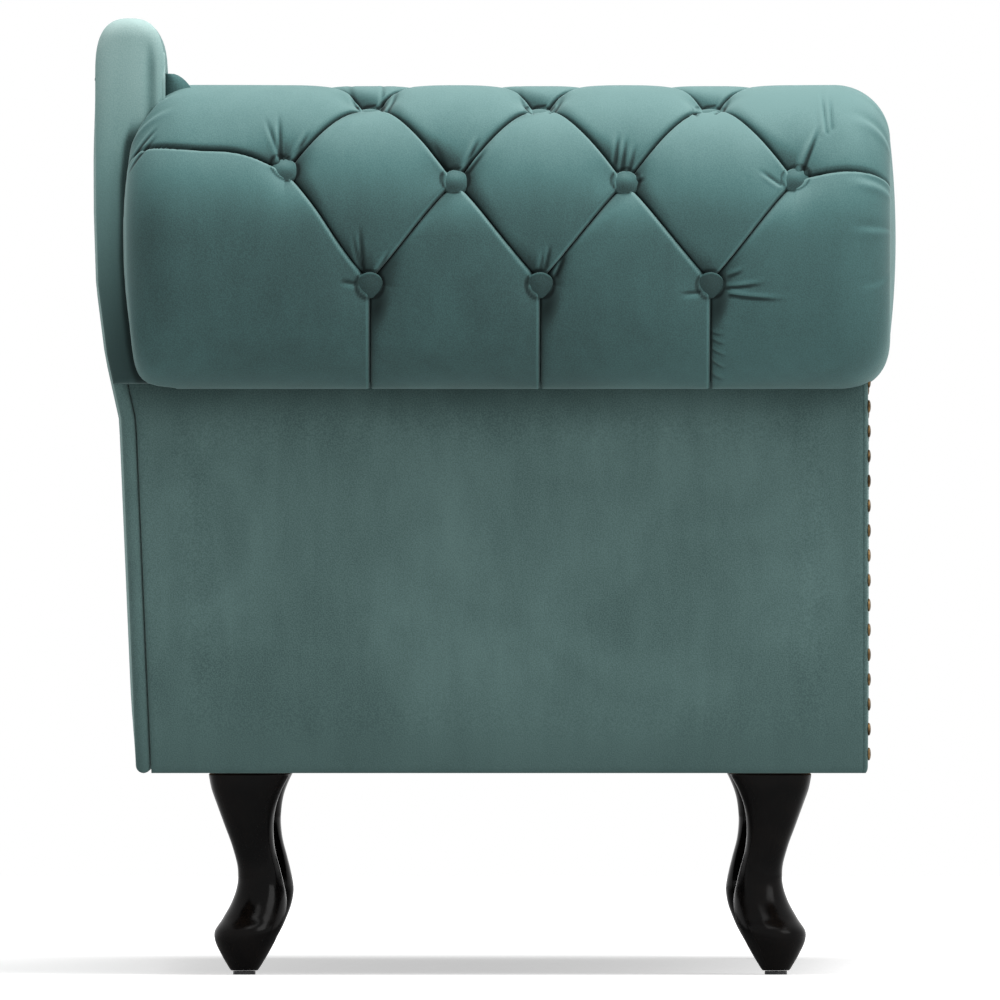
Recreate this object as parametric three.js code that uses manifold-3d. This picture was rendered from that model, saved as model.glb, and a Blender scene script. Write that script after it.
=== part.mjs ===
// A tufted fainting couch: a hardwood frame, padded and covered in velvet, on four cabriole legs.
// Millimetres. X runs from the head end to the foot end, the front faces -Y and +Z is up.
// The origin is on the floor, under the middle of the outer box.

import * as THREE from 'three';
import { mergeVertices } from 'three/addons/utils/BufferGeometryUtils.js';
import Module from 'manifold-3d';

const wasm = await Module();
wasm.setup();

// Outer sizes
const couchLength = 1530;
const couchDepth = 645;
const couchHeight = 771;

// The gap between pieces that rest on each other, and how far a cutter runs past what it cuts
const fitGap = 0.3;
const overrun = 8;

// Base box and its covers
const legHeight = 163;
const bandHeight = 157;
const bandThickness = 5;
const frontInset = 22.5;
const footInset = 5;
const rollOverhang = 80;

// Frame timber
const railHeight = 95;
const railThickness = 28;
const railLift = 3;
const postWidth = 45;
const armPostWidth = 60;
const armRailHeight = 40;
const armLowerRailHeight = 45;
const cornerBlockSize = 90;
const cornerBlockHeight = 50;

// Back: its lean, its covers from the rear inwards, and its crest seen from the front
const backRake = 33;
const outsideThickness = 12;
const crestThickness = 56;
const crestDepth = 50;
const topRailDepth = 50;
const backPadDepth = 38;
const backPadEdge = 6;
const backPadRound = 50;
const backEndOffset = 320;
const crestEndRadius = 60;
const crestFallOffset = 330;
const crestLowHeight = 490;
const crestBendReach = 260;

// Head roll and the pad inside the arm
const rollDrop = 55;
const rollHeight = 245;
const rollWidth = 216;
const rollCorner = 45;
const rollFrontCrown = 4.5;
const rollRearCrown = 3;
const rollRearInset = 21.5;
const insideArmReach = 185;
const insideArmLean = 42;
const insideArmUpright = 80;

// Tufting
const tuftPitch = 137;
const tuftRow = 82;
const tuftDepth = 16;
const tuftShift = 36;
const lowerButtonDrop = 39;
const dimpleDepth = 7;
const dimpleRadius = 25;
const buttonRadius = 10.5;
const buttonHeight = 6;
const backTuftRise = 195;

// Seat
const strapWidth = 90;
const strapThickness = 2.5;
const cushionHeight = 108;
const cushionCrown = 14;
const cushionDraw = 7;

// Legs, their fixings and their glides
const legTopWidth = 68;
const legInsetFront = 78;
const legInsetRear = 91;
const legInsetEnd = 85;
const plateSize = 44;
const boltRadius = 5;
const boltInLeg = 40;
const boltInBlock = 38;
const glideRadius = 9;
const glideHeight = 3;
const dustNotch = 50;

// Nail heads down the front facing
const nailPitch = 20;
const nailRadius = 5.2;
const nailHeight = 2.8;
const nailStripWidth = 5;
const nailStripThickness = 0.8;
const nailEdge = 7;
const nailStart = 15.4;
const nailRollGap = 2;

// Places that follow from the sizes
const xHead = -couchLength / 2;
const xPanel = xHead + rollOverhang;
const xFoot = couchLength / 2;
const xFootBand = xFoot - footInset;
const xFrameHead = xPanel + bandThickness + fitGap;
const xFrameFoot = xFootBand - bandThickness - fitGap;
const xRoll = xHead + rollWidth / 2;
const xBackEnd = backEndOffset;
const xInsideArm = xPanel + insideArmReach;
const yFront = frontInset - couchDepth / 2;
const yFrame = yFront + bandThickness + fitGap;
const yRearTop = couchDepth / 2;
const yRearFoot = yRearTop - backRake;
const zBase = legHeight;
const zRail = zBase + railLift;
const zRailTop = zRail + railHeight;
const zStrapTop = zRailTop + fitGap + strapThickness;
const zDeck = zBase + bandHeight;
const zRollTop = couchHeight - rollDrop;
const zRoll = zRollTop - rollHeight / 2;
const crestUnder = crestDepth + fitGap;
const frameInset = outsideThickness + fitGap;
const frameDepth = crestThickness - frameInset;
const padInset = crestThickness + fitGap;
const backTuftRiseStart = zDeck + backTuftRise;

// Curve resolutions
const rollStepsPerRow = 4;
const backStepsPerRow = 3;
const turnSides = 12;
const borderSides = 8;

// Steps along the crest: the level stretch, the fall, the round end and the upright end
const crestSteps = [1, 14, 6, 1];
const crestFallCount = crestSteps[0] + crestSteps[1] + 1;

// Shares of a quarter or half turn where the rings of round forms lie
const rollTurnShares = [0.5, 0.3, 0.15];
const buttonTurnShares = [0.25, 0.5, 0.75];
const nailTurnShares = [0.35, 0.7];

// Shares of the height of the pad inside the arm where its skin has points
const insideArmShares = [0, 0.16, 0.32, 0.5, 0.7, 0.9, 1];

// The lean of the rear surface: share of the height above the base, share of the rake
const rearLeanShares = [[0, 0], [0.51, 0.366], [0.602, 0.71], [0.705, 0.93], [0.81, 0.985], [1, 1]];

// One side view of a cabriole leg, top to foot: share of the leg's height, and how far the outline
// lies outwards and inwards, as shares of half the top width
const legOutlineShares = [
  [1.000, 0.98, 0.98], [0.917, 0.90, 0.77], [0.850, 0.79, 0.65], [0.744, 0.61, 0.57],
  [0.620, 0.40, 0.60], [0.510, 0.28, 0.73], [0.440, 0.29, 0.81], [0.350, 0.42, 0.88],
  [0.264, 0.64, 0.82], [0.190, 0.84, 0.69], [0.160, 0.83, 0.63], [0.077, 0.66, 0.42],
  [0.000, 0.45, 0.20],
];

// Solids

// A closed mesh of triangles turned so that its faces point out
function closedGeometry(points, faces) {
  const corners = faces.map((index) => points[index]);
  let volume = 0;
  for (let i = 0; i < corners.length; i += 3) {
    volume += corners[i].dot(new THREE.Vector3().crossVectors(corners[i + 1], corners[i + 2]));
  }
  const turned = volume < 0 ? faces.map((index, i) => faces[i - (i % 3) + 2 - (i % 3)]) : faces;
  const geometry = new THREE.BufferGeometry().setFromPoints(points);
  geometry.setIndex(turned);
  return geometry;
}

// A solid through rings of points with a tip closing each end. Each square of the skin is split
// along its deeper diagonal, so that a pleat stays one sharp line.
function loft(rings, tips, sinks = null) {
  const count = rings[0].length;
  const points = rings.flat().concat(tips);
  const faces = [];
  for (let i = 0; i + 1 < rings.length; i++) {
    for (let j = 0; j < count; j++) {
      const a = i * count + j;
      const b = i * count + (j + 1) % count;
      const c = b + count;
      const d = a + count;
      const first = sinks !== null && sinks[a] + sinks[c] > sinks[b] + sinks[d];
      faces.push(...(first ? [a, b, c, a, c, d] : [b, c, d, b, d, a]));
    }
  }
  const lastRing = (rings.length - 1) * count;
  for (let j = 0; j < count; j++) {
    const next = (j + 1) % count;
    faces.push(points.length - 2, next, j);
    faces.push(points.length - 1, lastRing + j, lastRing + next);
  }
  return closedGeometry(points, faces);
}

// A geometry as a solid for cutting and joining
function solid(geometry) {
  const bare = geometry.clone();
  bare.deleteAttribute('normal');
  bare.deleteAttribute('uv');
  const merged = mergeVertices(bare);
  return new wasm.Manifold(new wasm.Mesh({
    numProp: 3,
    vertProperties: new Float32Array(merged.attributes.position.array),
    triVerts: new Uint32Array(merged.index.array),
  }));
}

// A cut solid as a geometry again
function cutGeometry(body) {
  const mesh = body.getMesh();
  const geometry = new THREE.BufferGeometry();
  geometry.setAttribute('position', new THREE.BufferAttribute(mesh.vertProperties, 3));
  geometry.setIndex(new THREE.BufferAttribute(mesh.triVerts, 1));
  return geometry;
}

// What is left of a geometry when other geometries are taken out of it
function cut(geometry, ...cutters) {
  return cutGeometry(cutters.reduce((body, cutter) => body.subtract(solid(cutter)), solid(geometry)));
}

// What two geometries share
function common(geometry, other) {
  return cutGeometry(solid(geometry).intersect(solid(other)));
}

// One geometry made of several that touch or overlap
function joined(...geometries) {
  return cutGeometry(geometries.slice(1).reduce((body, next) => body.add(solid(next)), solid(geometries[0])));
}

function outlineShape(outline) {
  return new THREE.Shape(outline.map(([a, b]) => new THREE.Vector2(a, b)));
}

// A block between two corners
function block(x0, x1, y0, y1, z0, z1) {
  const geometry = new THREE.BoxGeometry(x1 - x0, y1 - y0, z1 - z0);
  return geometry.translate((x0 + x1) / 2, (y0 + y1) / 2, (z0 + z1) / 2);
}

const xAxis = new THREE.Vector3(1, 0, 0);
const yAxis = new THREE.Vector3(0, 1, 0);
const zAxis = new THREE.Vector3(0, 0, 1);

// A prism whose outline is given in Y and Z
function prismAlongX(outline, x0, x1) {
  const geometry = new THREE.ExtrudeGeometry(outlineShape(outline), { depth: x1 - x0, bevelEnabled: false });
  geometry.applyMatrix4(new THREE.Matrix4().makeBasis(yAxis, zAxis, xAxis));
  return geometry.translate(x0, 0, 0);
}

// A prism whose outline is given in X and Z
function prismAlongY(outline, y0, y1) {
  const geometry = new THREE.ExtrudeGeometry(outlineShape(outline), { depth: y1 - y0, bevelEnabled: false });
  geometry.applyMatrix4(new THREE.Matrix4().makeBasis(xAxis, zAxis, yAxis.clone().negate()));
  return geometry.translate(0, y1, 0);
}

// A prism whose outline is given in X and Y
function prismAlongZ(outline, z0, z1) {
  const geometry = new THREE.ExtrudeGeometry(outlineShape(outline), { depth: z1 - z0, bevelEnabled: false });
  return geometry.translate(0, 0, z0);
}

// An upright rod
function rod(x, y, z0, z1, radius) {
  const geometry = new THREE.CylinderGeometry(radius, radius, z1 - z0, turnSides);
  return geometry.rotateX(Math.PI / 2).translate(x, y, (z0 + z1) / 2);
}

// The couch is one group of named meshes, each with a finish of its own
const couch = new THREE.Group();

const finishes = {
  velvet: { color: 0x5c8078, roughness: 0.85, metalness: 0 },
  lacquer: { color: 0x0b0a0a, roughness: 0.15, metalness: 0 },
  timber: { color: 0xb98f5e, roughness: 0.7, metalness: 0 },
  brass: { color: 0x8d6f42, roughness: 0.35, metalness: 1 },
  steel: { color: 0x9a9da0, roughness: 0.4, metalness: 1 },
  foam: { color: 0xe4d9b4, roughness: 0.95, metalness: 0 },
  webbing: { color: 0x8a7650, roughness: 0.9, metalness: 0 },
  lining: { color: 0x1c1c1e, roughness: 0.95, metalness: 0 },
  nylon: { color: 0x2a2a2a, roughness: 0.5, metalness: 0 },
};

function addPiece(name, geometry, finish) {
  const mesh = new THREE.Mesh(geometry, new THREE.MeshStandardMaterial(finishes[finish]));
  mesh.name = name;
  couch.add(mesh);
  return mesh;
}

// The raking rear surface

// The Y of the rear surface at a height
function rearY(z) {
  const share = (z - zBase) / (couchHeight - crestDepth - zBase);
  const above = Math.max(1, rearLeanShares.findIndex(([height]) => height >= share));
  const end = share > 1 ? rearLeanShares.length - 1 : above;
  const [lowHeight, lowLean] = rearLeanShares[end - 1];
  const [highHeight, highLean] = rearLeanShares[end];
  const part = (Math.min(1, share) - lowHeight) / (highHeight - lowHeight);
  return yRearFoot + backRake * (lowLean + (highLean - lowLean) * part);
}

// The heights where the rear surface bends, between two heights and with both of them
function rearHeights(z0, z1) {
  const bends = rearLeanShares.map(([height]) => zBase + height * (couchHeight - crestDepth - zBase));
  return [z0, ...bends.filter((z) => z > z0 + fitGap && z < z1 - fitGap), z1];
}

// The rear surface as points in Y and Z, moved inwards
function rearEdge(z0, z1, inset) {
  return rearHeights(z0, z1).map((z) => [rearY(z) - inset, z]);
}

// A board that follows the rear surface, some way inside it
function rearBoard(x0, x1, z0, z1, inset, thickness) {
  const outline = rearEdge(z0, z1, inset).concat(rearEdge(z0, z1, inset + thickness).reverse());
  return prismAlongX(outline, x0, x1);
}

// All that lies behind a surface some way inside the rear, for cutting
function behindRear(x0, x1, inset) {
  return rearBoard(x0, x1, zBase - overrun, couchHeight + overrun, inset, -inset - overrun);
}

// The crest of the back, seen from the front

// Points of the crest with the direction that is up from it, head end first
function crestStations() {
  const path = new THREE.Path();
  const xBend = xBackEnd - crestEndRadius;
  path.moveTo(xPanel, couchHeight);
  path.lineTo(-crestFallOffset, couchHeight);
  path.bezierCurveTo(
    -crestFallOffset + crestBendReach, couchHeight,
    xBend - crestBendReach, crestLowHeight,
    xBend, crestLowHeight,
  );
  path.absarc(xBend, crestLowHeight - crestEndRadius, crestEndRadius, Math.PI / 2, 0, true);
  path.lineTo(xBackEnd, zDeck + fitGap);
  const points = path.curves.flatMap((curve, i) => {
    return curve.getPoints(crestSteps[i]).slice(i === 0 ? 0 : 1);
  });
  return points.map((point, i) => {
    const before = points[Math.max(0, i - 1)];
    const after = points[Math.min(points.length - 1, i + 1)];
    const along = after.clone().sub(before).normalize();
    return { point, up: new THREE.Vector2(-along.y, along.x) };
  });
}

const crest = crestStations();

// The crest line moved down into the back, whole or only as far as the end of its fall
function crestLine(drop, whole = true) {
  const stations = whole ? crest : crest.slice(0, crestFallCount);
  return stations.map(({ point, up }) => [point.x - up.x * drop, point.y - up.y * drop]);
}

// The height of the fall of the crest over one place, moved down
function crestHeightAt(x, drop) {
  const line = crestLine(drop, false);
  const next = Math.max(1, line.findIndex(([along]) => along >= x));
  const end = x > line[line.length - 1][0] ? line.length - 1 : next;
  const [x0, z0] = line[end - 1];
  const [x1, z1] = line[end];
  return z0 + (z1 - z0) * Math.min(1, Math.max(0, (x - x0) / (x1 - x0)));
}

// All that lies above the crest line moved down, for cutting
function aboveCrest(drop) {
  const line = crestLine(drop, false);
  const zLow = line[line.length - 1][1];
  const outline = [
    [xPanel - overrun, couchHeight - drop], ...line, [xBackEnd + overrun, zLow],
    [xBackEnd + overrun, couchHeight + overrun], [xPanel - overrun, couchHeight + overrun],
  ];
  return prismAlongY(outline, 0, couchDepth);
}

// All that lies under the crest border, down to a height
function underCrest(xStart, z0, y0) {
  const line = crestLine(crestUnder).filter(([x]) => x > xStart);
  const outline = [[xStart, couchHeight - crestUnder], ...line];
  const [xEnd] = line[line.length - 1];
  outline.push([xEnd, z0], [xStart, z0]);
  return prismAlongY(outline, y0, couchDepth);
}

// Base frame

function frameRails() {
  const yRearRail = yRearFoot - crestThickness - fitGap;
  const yCross = yFrame + railThickness + fitGap;
  const frontRail = block(xFrameHead, xFrameFoot, yFrame, yFrame + railThickness, zRail, zRailTop);
  addPiece('front_rail', frontRail, 'timber');
  addPiece('rear_rail', rearBoard(xFrameHead, xFrameFoot, zRail, zRailTop, frameInset, frameDepth), 'timber');
  const crossRails = [
    ['head_rail', xFrameHead],
    ['centre_rail', (xFrameHead + xFrameFoot - railThickness) / 2],
    ['foot_rail', xFrameFoot - railThickness],
  ];
  for (const [name, x] of crossRails) {
    addPiece(name, block(x, x + railThickness, yCross, yRearRail, zRail, zRailTop), 'timber');
  }
}

// The four corners of the base: where each leg stands, and which way is outwards
const corners = [
  { name: 'front_head', x: xPanel + legInsetEnd, y: yFront + legInsetFront, outX: -1, outY: -1 },
  { name: 'rear_head', x: xPanel + legInsetEnd, y: yRearFoot - legInsetRear, outX: -1, outY: 1 },
  { name: 'front_foot', x: xFootBand - legInsetEnd, y: yFront + legInsetFront, outX: 1, outY: -1 },
  { name: 'rear_foot', x: xFootBand - legInsetEnd, y: yRearFoot - legInsetRear, outX: 1, outY: 1 },
];

// A glue block with its inner corner taken off, drilled for the leg bolt
function cornerBlock({ name, x, y, outX, outY }) {
  const railStep = railThickness + fitGap;
  const xCorner = outX < 0 ? xFrameHead + railStep : xFrameFoot - railStep;
  const yCorner = outY < 0 ? yFrame + railStep : yRearFoot - crestThickness - fitGap;
  const size = cornerBlockSize;
  const outline = [[0, 0], [size, 0], [size, size / 2], [size / 2, size], [0, size]]
    .map(([across, along]) => [xCorner - outX * across, yCorner - outY * along]);
  const blank = prismAlongZ(outline, zRail, zRail + cornerBlockHeight);
  const bore = rod(x, y, zRail - overrun, zRail + boltInBlock + fitGap, boltRadius + fitGap);
  addPiece(`corner_block_${name}`, cut(blank, bore), 'timber');
}

// Legs

// A ring of a leg: a square with rounded sides that turns round towards the foot
function legRing(corner, share, outShare, inShare) {
  const half = legTopWidth / 2;
  const middle = half * (outShare - inShare) / 2;
  const reach = half * (outShare + inShare) / 2;
  const power = 1 - share * share / 2;
  const z = glideHeight + fitGap + share * (legHeight - glideHeight - 2 * fitGap);
  const ring = [];
  for (let i = 0; i < 2 * turnSides; i++) {
    const angle = Math.PI * (i + 0.5) / turnSides;
    const side = Math.sign(Math.cos(angle)) * Math.abs(Math.cos(angle)) ** power;
    const front = Math.sign(Math.sin(angle)) * Math.abs(Math.sin(angle)) ** power;
    ring.push(new THREE.Vector3(
      corner.x + corner.outX * (middle + reach * side),
      corner.y + corner.outY * (middle + reach * front),
      z,
    ));
  }
  return ring;
}

function middleOf(ring) {
  return ring.reduce((sum, point) => sum.add(point), new THREE.Vector3()).divideScalar(ring.length);
}

// A cabriole leg that curves out to its corner, drilled for its bolt
function leg(corner) {
  const curve = new THREE.CatmullRomCurve3(legOutlineShares.map((row) => new THREE.Vector3(...row)));
  const rings = curve.getPoints(legOutlineShares.length + 1).map(({ x, y, z }) => legRing(corner, x, y, z));
  const tips = [middleOf(rings[0]), middleOf(rings[rings.length - 1])];
  const zBore = legHeight - boltInLeg - fitGap;
  const bore = rod(corner.x, corner.y, zBore, legHeight + overrun, boltRadius + fitGap);
  addPiece(`leg_${corner.name}`, cut(loft(rings, tips), bore), 'lacquer');
}

// What holds a leg to its corner, and what it stands on
function legFixings({ name, x, y, outX, outY }) {
  const half = plateSize / 2;
  const zTop = zRail - fitGap;
  const plate = block(x - half, x + half, y - half, y + half, legHeight, zTop);
  const bore = rod(x, y, legHeight - overrun, zTop + overrun, boltRadius + fitGap);
  addPiece(`leg_plate_${name}`, cut(plate, bore), 'steel');
  addPiece(`leg_bolt_${name}`, rod(x, y, legHeight - boltInLeg, zRail + boltInBlock, boltRadius), 'steel');
  const [, outShare, inShare] = legOutlineShares[legOutlineShares.length - 1];
  const shift = (outShare - inShare) * legTopWidth / 4;
  addPiece(`glide_${name}`, rod(x + outX * shift, y + outY * shift, 0, glideHeight, glideRadius), 'nylon');
}

// Arm frame

function armFrame() {
  const xInner = xFrameHead + armPostWidth;
  const yPost = yFrame + railThickness;
  const yRearPost = rearY(zRailTop) - crestThickness - fitGap;
  const yBetween = yRearPost - railThickness;
  const zPost = zRailTop + fitGap;
  const zTop = zRoll + armRailHeight / 2;
  const zPostTop = zTop - armRailHeight - fitGap;
  addPiece('arm_post_front', block(xFrameHead, xInner, yFrame, yPost, zPost, zPostTop), 'timber');
  addPiece('arm_post_rear', block(xFrameHead, xInner, yBetween, yRearPost, zPost, zPostTop), 'timber');
  addPiece('arm_top_rail', block(xFrameHead, xInner, yFrame, yRearPost, zPostTop + fitGap, zTop), 'timber');
  addPiece('arm_lower_rail', block(
    xFrameHead, xFrameHead + railThickness, yPost + fitGap, yBetween - fitGap,
    zDeck, zDeck + armLowerRailHeight,
  ), 'timber');
}

// The room that the head roll leaves for the arm frame
function armFrameRoom() {
  const xInner = xFrameHead + armPostWidth + fitGap;
  const yRearPost = rearY(zRailTop) - crestThickness;
  const zTop = zRoll + armRailHeight / 2 + fitGap;
  const zUnder = zTop - armRailHeight - 2 * fitGap;
  const zLow = zRoll - rollHeight;
  const x = xFrameHead - fitGap;
  const y = yFrame - fitGap;
  return [
    block(x, xInner, y, yRearPost, zUnder, zTop),
    block(x, xInner, y, y + railThickness + 2 * fitGap, zLow, zTop),
    block(x, xInner, yRearPost - railThickness - 2 * fitGap, yRearPost, zLow, zTop),
    block(x, xFrameHead + railThickness + fitGap, y, yRearPost, zLow, zDeck + armLowerRailHeight + fitGap),
  ];
}

// Back frame

function backFrame() {
  const postDrop = crestUnder + topRailDepth + fitGap;
  const xFootPost = xBackEnd - crestUnder - postWidth - fitGap;
  const posts = [
    ['back_post_head', xFrameHead],
    ['back_post_middle', (xFrameHead + xFootPost) / 2],
    ['back_post_foot', xFootPost],
  ];
  for (const [name, x] of posts) {
    const zTop = couchHeight - crestUnder;
    const board = rearBoard(x, x + postWidth, zRailTop + fitGap, zTop, frameInset, frameDepth - fitGap);
    addPiece(name, cut(board, aboveCrest(postDrop)), 'timber');
  }
  const lower = crestLine(crestUnder + topRailDepth, false).reverse();
  const band = prismAlongY([...crestLine(crestUnder, false), ...lower], 0, couchDepth);
  const sheet = rearBoard(xFrameHead, xBackEnd, zRailTop, couchHeight, frameInset, frameDepth - fitGap);
  addPiece('back_top_rail', common(band, sheet), 'timber');
}

// Tufting

// How high the padding stands between its pleats and how deep it dips at a button. Across and along
// are counted in buttons: even rows have buttons at whole counts across, odd rows at half counts.
function tuftSink(across, along, columns, rows) {
  const a = Math.min(columns, Math.max(-columns, across));
  const b = Math.min(rows, Math.max(0, along));
  const rise = Math.sqrt(Math.abs(Math.sin(Math.PI * (a + b / 2)) * Math.sin(Math.PI * (a - b / 2))));
  const p = Math.round(a + b / 2);
  const q = Math.round(b / 2 - a);
  const gap = Math.hypot((across - (p - q) / 2) * tuftPitch, (along - (p + q)) * tuftRow);
  return tuftDepth * (1 - rise) + dimpleDepth * Math.exp(-((gap / dimpleRadius) ** 2));
}

// Head roll: an oval bolster along Y with domed ends

const tuftRowAngle = tuftRow / ((rollWidth + rollHeight) / 4);
const lowerButtonAngle = Math.asin(-lowerButtonDrop / (rollHeight / 2));
const rollColumns = 1.5;
const rollRows = 4;
const lipSteps = 5;
const hiddenTurnShares = [0.25, 0.5, 0.75];

// The angles round the roll where its skin has points, the tufted ones first, then the hidden ones
function rollAngles() {
  const step = tuftRowAngle / rollStepsPerRow;
  const start = lowerButtonAngle - lipSteps * step;
  const shownCount = lipSteps + (rollRows + 1) * rollStepsPerRow + 1;
  const shown = Array.from({ length: shownCount }, (_, i) => start + i * step);
  const last = shown[shownCount - 1];
  const hidden = hiddenTurnShares.map((share) => last + (start + 2 * Math.PI - last) * share);
  return shown.concat(hidden);
}

// A point of the oval section, shrunk by an amount
function rollPoint(angle, shrink) {
  const x = xRoll - (rollWidth / 2 - shrink) * Math.cos(angle);
  const z = zRoll + (rollHeight / 2 - shrink) * Math.sin(angle);
  return [x, z];
}

// The height of the skin under the lip of the roll
function rollUnderZ(x) {
  const angles = rollAngles();
  const [x0, z0] = rollPoint(angles[0], 0);
  const [x1, z1] = rollPoint(angles[angles.length - 1], 0);
  return z0 + (z1 - z0) * (x - x0) / (x1 - x0);
}

// The oval section as a prism from front to rear, grown by an amount, for cutting
function rollRoom(grow) {
  return prismAlongY(rollAngles().map((angle) => rollPoint(angle, -grow)), -couchDepth, couchDepth);
}

const yRollFront = -couchDepth / 2;
const yRollRear = couchDepth / 2 - rollRearInset;
const yTuftMiddle = -tuftShift;

// How far the front dome of the roll shrinks its section at a place along Y
function rollShrinkAt(y) {
  const reach = Math.max(0, yRollFront + rollFrontCrown + rollCorner - y);
  return rollCorner - Math.sqrt(rollCorner ** 2 - reach ** 2);
}

// Where the rings of the roll lie: Y, how far each is shrunk, and whether it is tufted
function rollRings() {
  const yFirst = yRollFront + rollFrontCrown + rollCorner;
  const yLast = yRollRear - rollRearCrown - rollCorner;
  const step = tuftPitch / (2 * rollStepsPerRow);
  const rings = [];
  for (const share of rollTurnShares) {
    const angle = Math.PI * share;
    rings.push([yFirst - rollCorner * Math.sin(angle), rollCorner * (1 - Math.cos(angle))]);
  }
  rings.push([yFirst, 0]);
  const firstStep = Math.ceil((yFirst + step / 2 - yTuftMiddle) / step);
  const lastStep = Math.floor((yLast - step / 2 - yTuftMiddle) / step);
  for (let i = firstStep; i <= lastStep; i++) rings.push([yTuftMiddle + i * step, 0]);
  rings.push([yLast, 0]);
  for (const share of [...rollTurnShares].reverse()) {
    const angle = Math.PI * share;
    rings.push([yLast + rollCorner * Math.sin(angle), rollCorner * (1 - Math.cos(angle))]);
  }
  return rings;
}

// How far the skin sinks at a place on the roll: it fades out over the domed ends and under the lip
function rollSink(angle, y, shrink) {
  const along = (angle - lowerButtonAngle) / tuftRowAngle;
  const fadeEnd = 1 - shrink / rollCorner;
  const fadeLip = Math.min(1, Math.max(0, along * rollStepsPerRow / lipSteps + 1));
  const hidden = along > rollRows + 1 + 1 / rollStepsPerRow;
  const across = (y - yTuftMiddle) / tuftPitch;
  return hidden ? 0 : fadeEnd * fadeLip * tuftSink(across, along, rollColumns, rollRows);
}

// The button places on the roll that show from the head end, with the normal at each
function rollButtons() {
  const places = [];
  for (const [row, columns] of [[1, [-1.5, -0.5, 0.5, 1.5]], [0, [-1, 0, 1]]]) {
    for (const column of columns) {
      const angle = lowerButtonAngle + row * tuftRowAngle;
      const [x, z] = rollPoint(angle, 0);
      const normal = new THREE.Vector3(
        -Math.cos(angle) / rollWidth, 0, Math.sin(angle) / rollHeight,
      ).normalize();
      const floor = new THREE.Vector3(x, yTuftMiddle + column * tuftPitch, z)
        .addScaledVector(normal, -tuftDepth - dimpleDepth);
      places.push({ floor, normal });
    }
  }
  return places;
}

// A geometry turned from standing on its foot to standing on a place on the roll
function stoodOn(geometry, { floor, normal }, lift) {
  const turn = new THREE.Quaternion().setFromUnitVectors(yAxis, normal);
  const place = floor.clone().addScaledVector(normal, lift);
  return geometry.applyQuaternion(turn).translate(place.x, place.y, place.z);
}

function headRoll() {
  const angles = rollAngles();
  const stations = rollRings();
  const sinks = [];
  const rings = stations.map(([y, shrink]) => angles.map((angle) => {
    const sink = rollSink(angle, y, shrink);
    sinks.push(sink);
    const [x, z] = rollPoint(angle, shrink + sink);
    return new THREE.Vector3(x, y, z);
  }));
  const tips = [new THREE.Vector3(xRoll, yRollFront, zRoll), new THREE.Vector3(xRoll, yRollRear, zRoll)];
  const bolster = loft(rings, tips, sinks);
  const pocketRadius = buttonRadius + fitGap;
  const pockets = rollButtons().map((place) => {
    const pocket = new THREE.CylinderGeometry(pocketRadius, pocketRadius, rollCorner, turnSides);
    return stoodOn(pocket.translate(0, rollCorner / 2, 0), place, 0);
  });
  const rear = behindRear(xPanel - fitGap, xBackEnd, padInset);
  addPiece('head_roll', cut(bolster, rear, ...armFrameRoom(), ...pockets), 'velvet');
}

// A covered button: a low dome with a rounded rim
function headRollButtons() {
  const rim = buttonHeight / 3;
  const profile = [[0, 0], [buttonRadius - rim, 0], [buttonRadius, rim]];
  for (const share of buttonTurnShares) {
    const angle = Math.PI / 2 * share;
    profile.push([buttonRadius * Math.cos(angle), rim + (buttonHeight - rim) * Math.sin(angle)]);
  }
  profile.push([0, buttonHeight]);
  rollButtons().forEach((place, i) => {
    const button = new THREE.LatheGeometry(profile.map(([r, h]) => new THREE.Vector2(r, h)), turnSides);
    addPiece(`head_roll_button_${i + 1}`, stoodOn(button, place, fitGap), 'velvet');
  });
}

// Pad inside the arm: upright pleats from the roll down to the seat

// The inner face of the arm: upright by the seat, then leaning back to the roll
function insideArmX(z) {
  const lean = Math.max(0, z - zDeck - insideArmUpright) / (zRoll - zDeck - insideArmUpright);
  return xInsideArm - insideArmLean * lean;
}

function insideArm() {
  const xRear = xFrameHead + armPostWidth + fitGap;
  const zFoot = zDeck + fitGap;
  const heights = insideArmShares.map((share) => zFoot + share * (zRoll - zFoot));
  const step = tuftPitch / (2 * rollStepsPerRow);
  const yStart = yFrame;
  const yEnd = yRearFoot - crestThickness;
  const stations = [yStart];
  const first = Math.ceil((yStart + step / 2 - yTuftMiddle) / step);
  for (let i = first; yTuftMiddle + i * step < yEnd; i++) stations.push(yTuftMiddle + i * step);
  stations.push(yEnd);
  const sinks = [];
  const rings = stations.map((y) => {
    const sink = tuftSink((y - yTuftMiddle) / tuftPitch, rollRows + rollRows, rollColumns, rollRows);
    sinks.push(...heights.map(() => sink), 0, 0);
    const face = heights.map((z) => new THREE.Vector3(insideArmX(z) - sink, y, z));
    return [...face, new THREE.Vector3(xRear, y, zRoll), new THREE.Vector3(xRear, y, zFoot)];
  });
  const tips = [middleOf(rings[0]), middleOf(rings[rings.length - 1])];
  addPiece('inside_arm', cut(loft(rings, tips, sinks), rollRoom(fitGap)), 'velvet');
}

// The room that the arm takes up inside the couch, for cutting its neighbours
function insideArmRoom() {
  const heights = [zDeck - overrun, zDeck + insideArmUpright, zRoll];
  const face = heights.map((z) => [insideArmX(z) + fitGap, z]);
  return prismAlongY([...face, [xHead, zRoll], [xHead, zDeck - overrun]], -couchDepth, couchDepth);
}

// Covers of the head end

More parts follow.
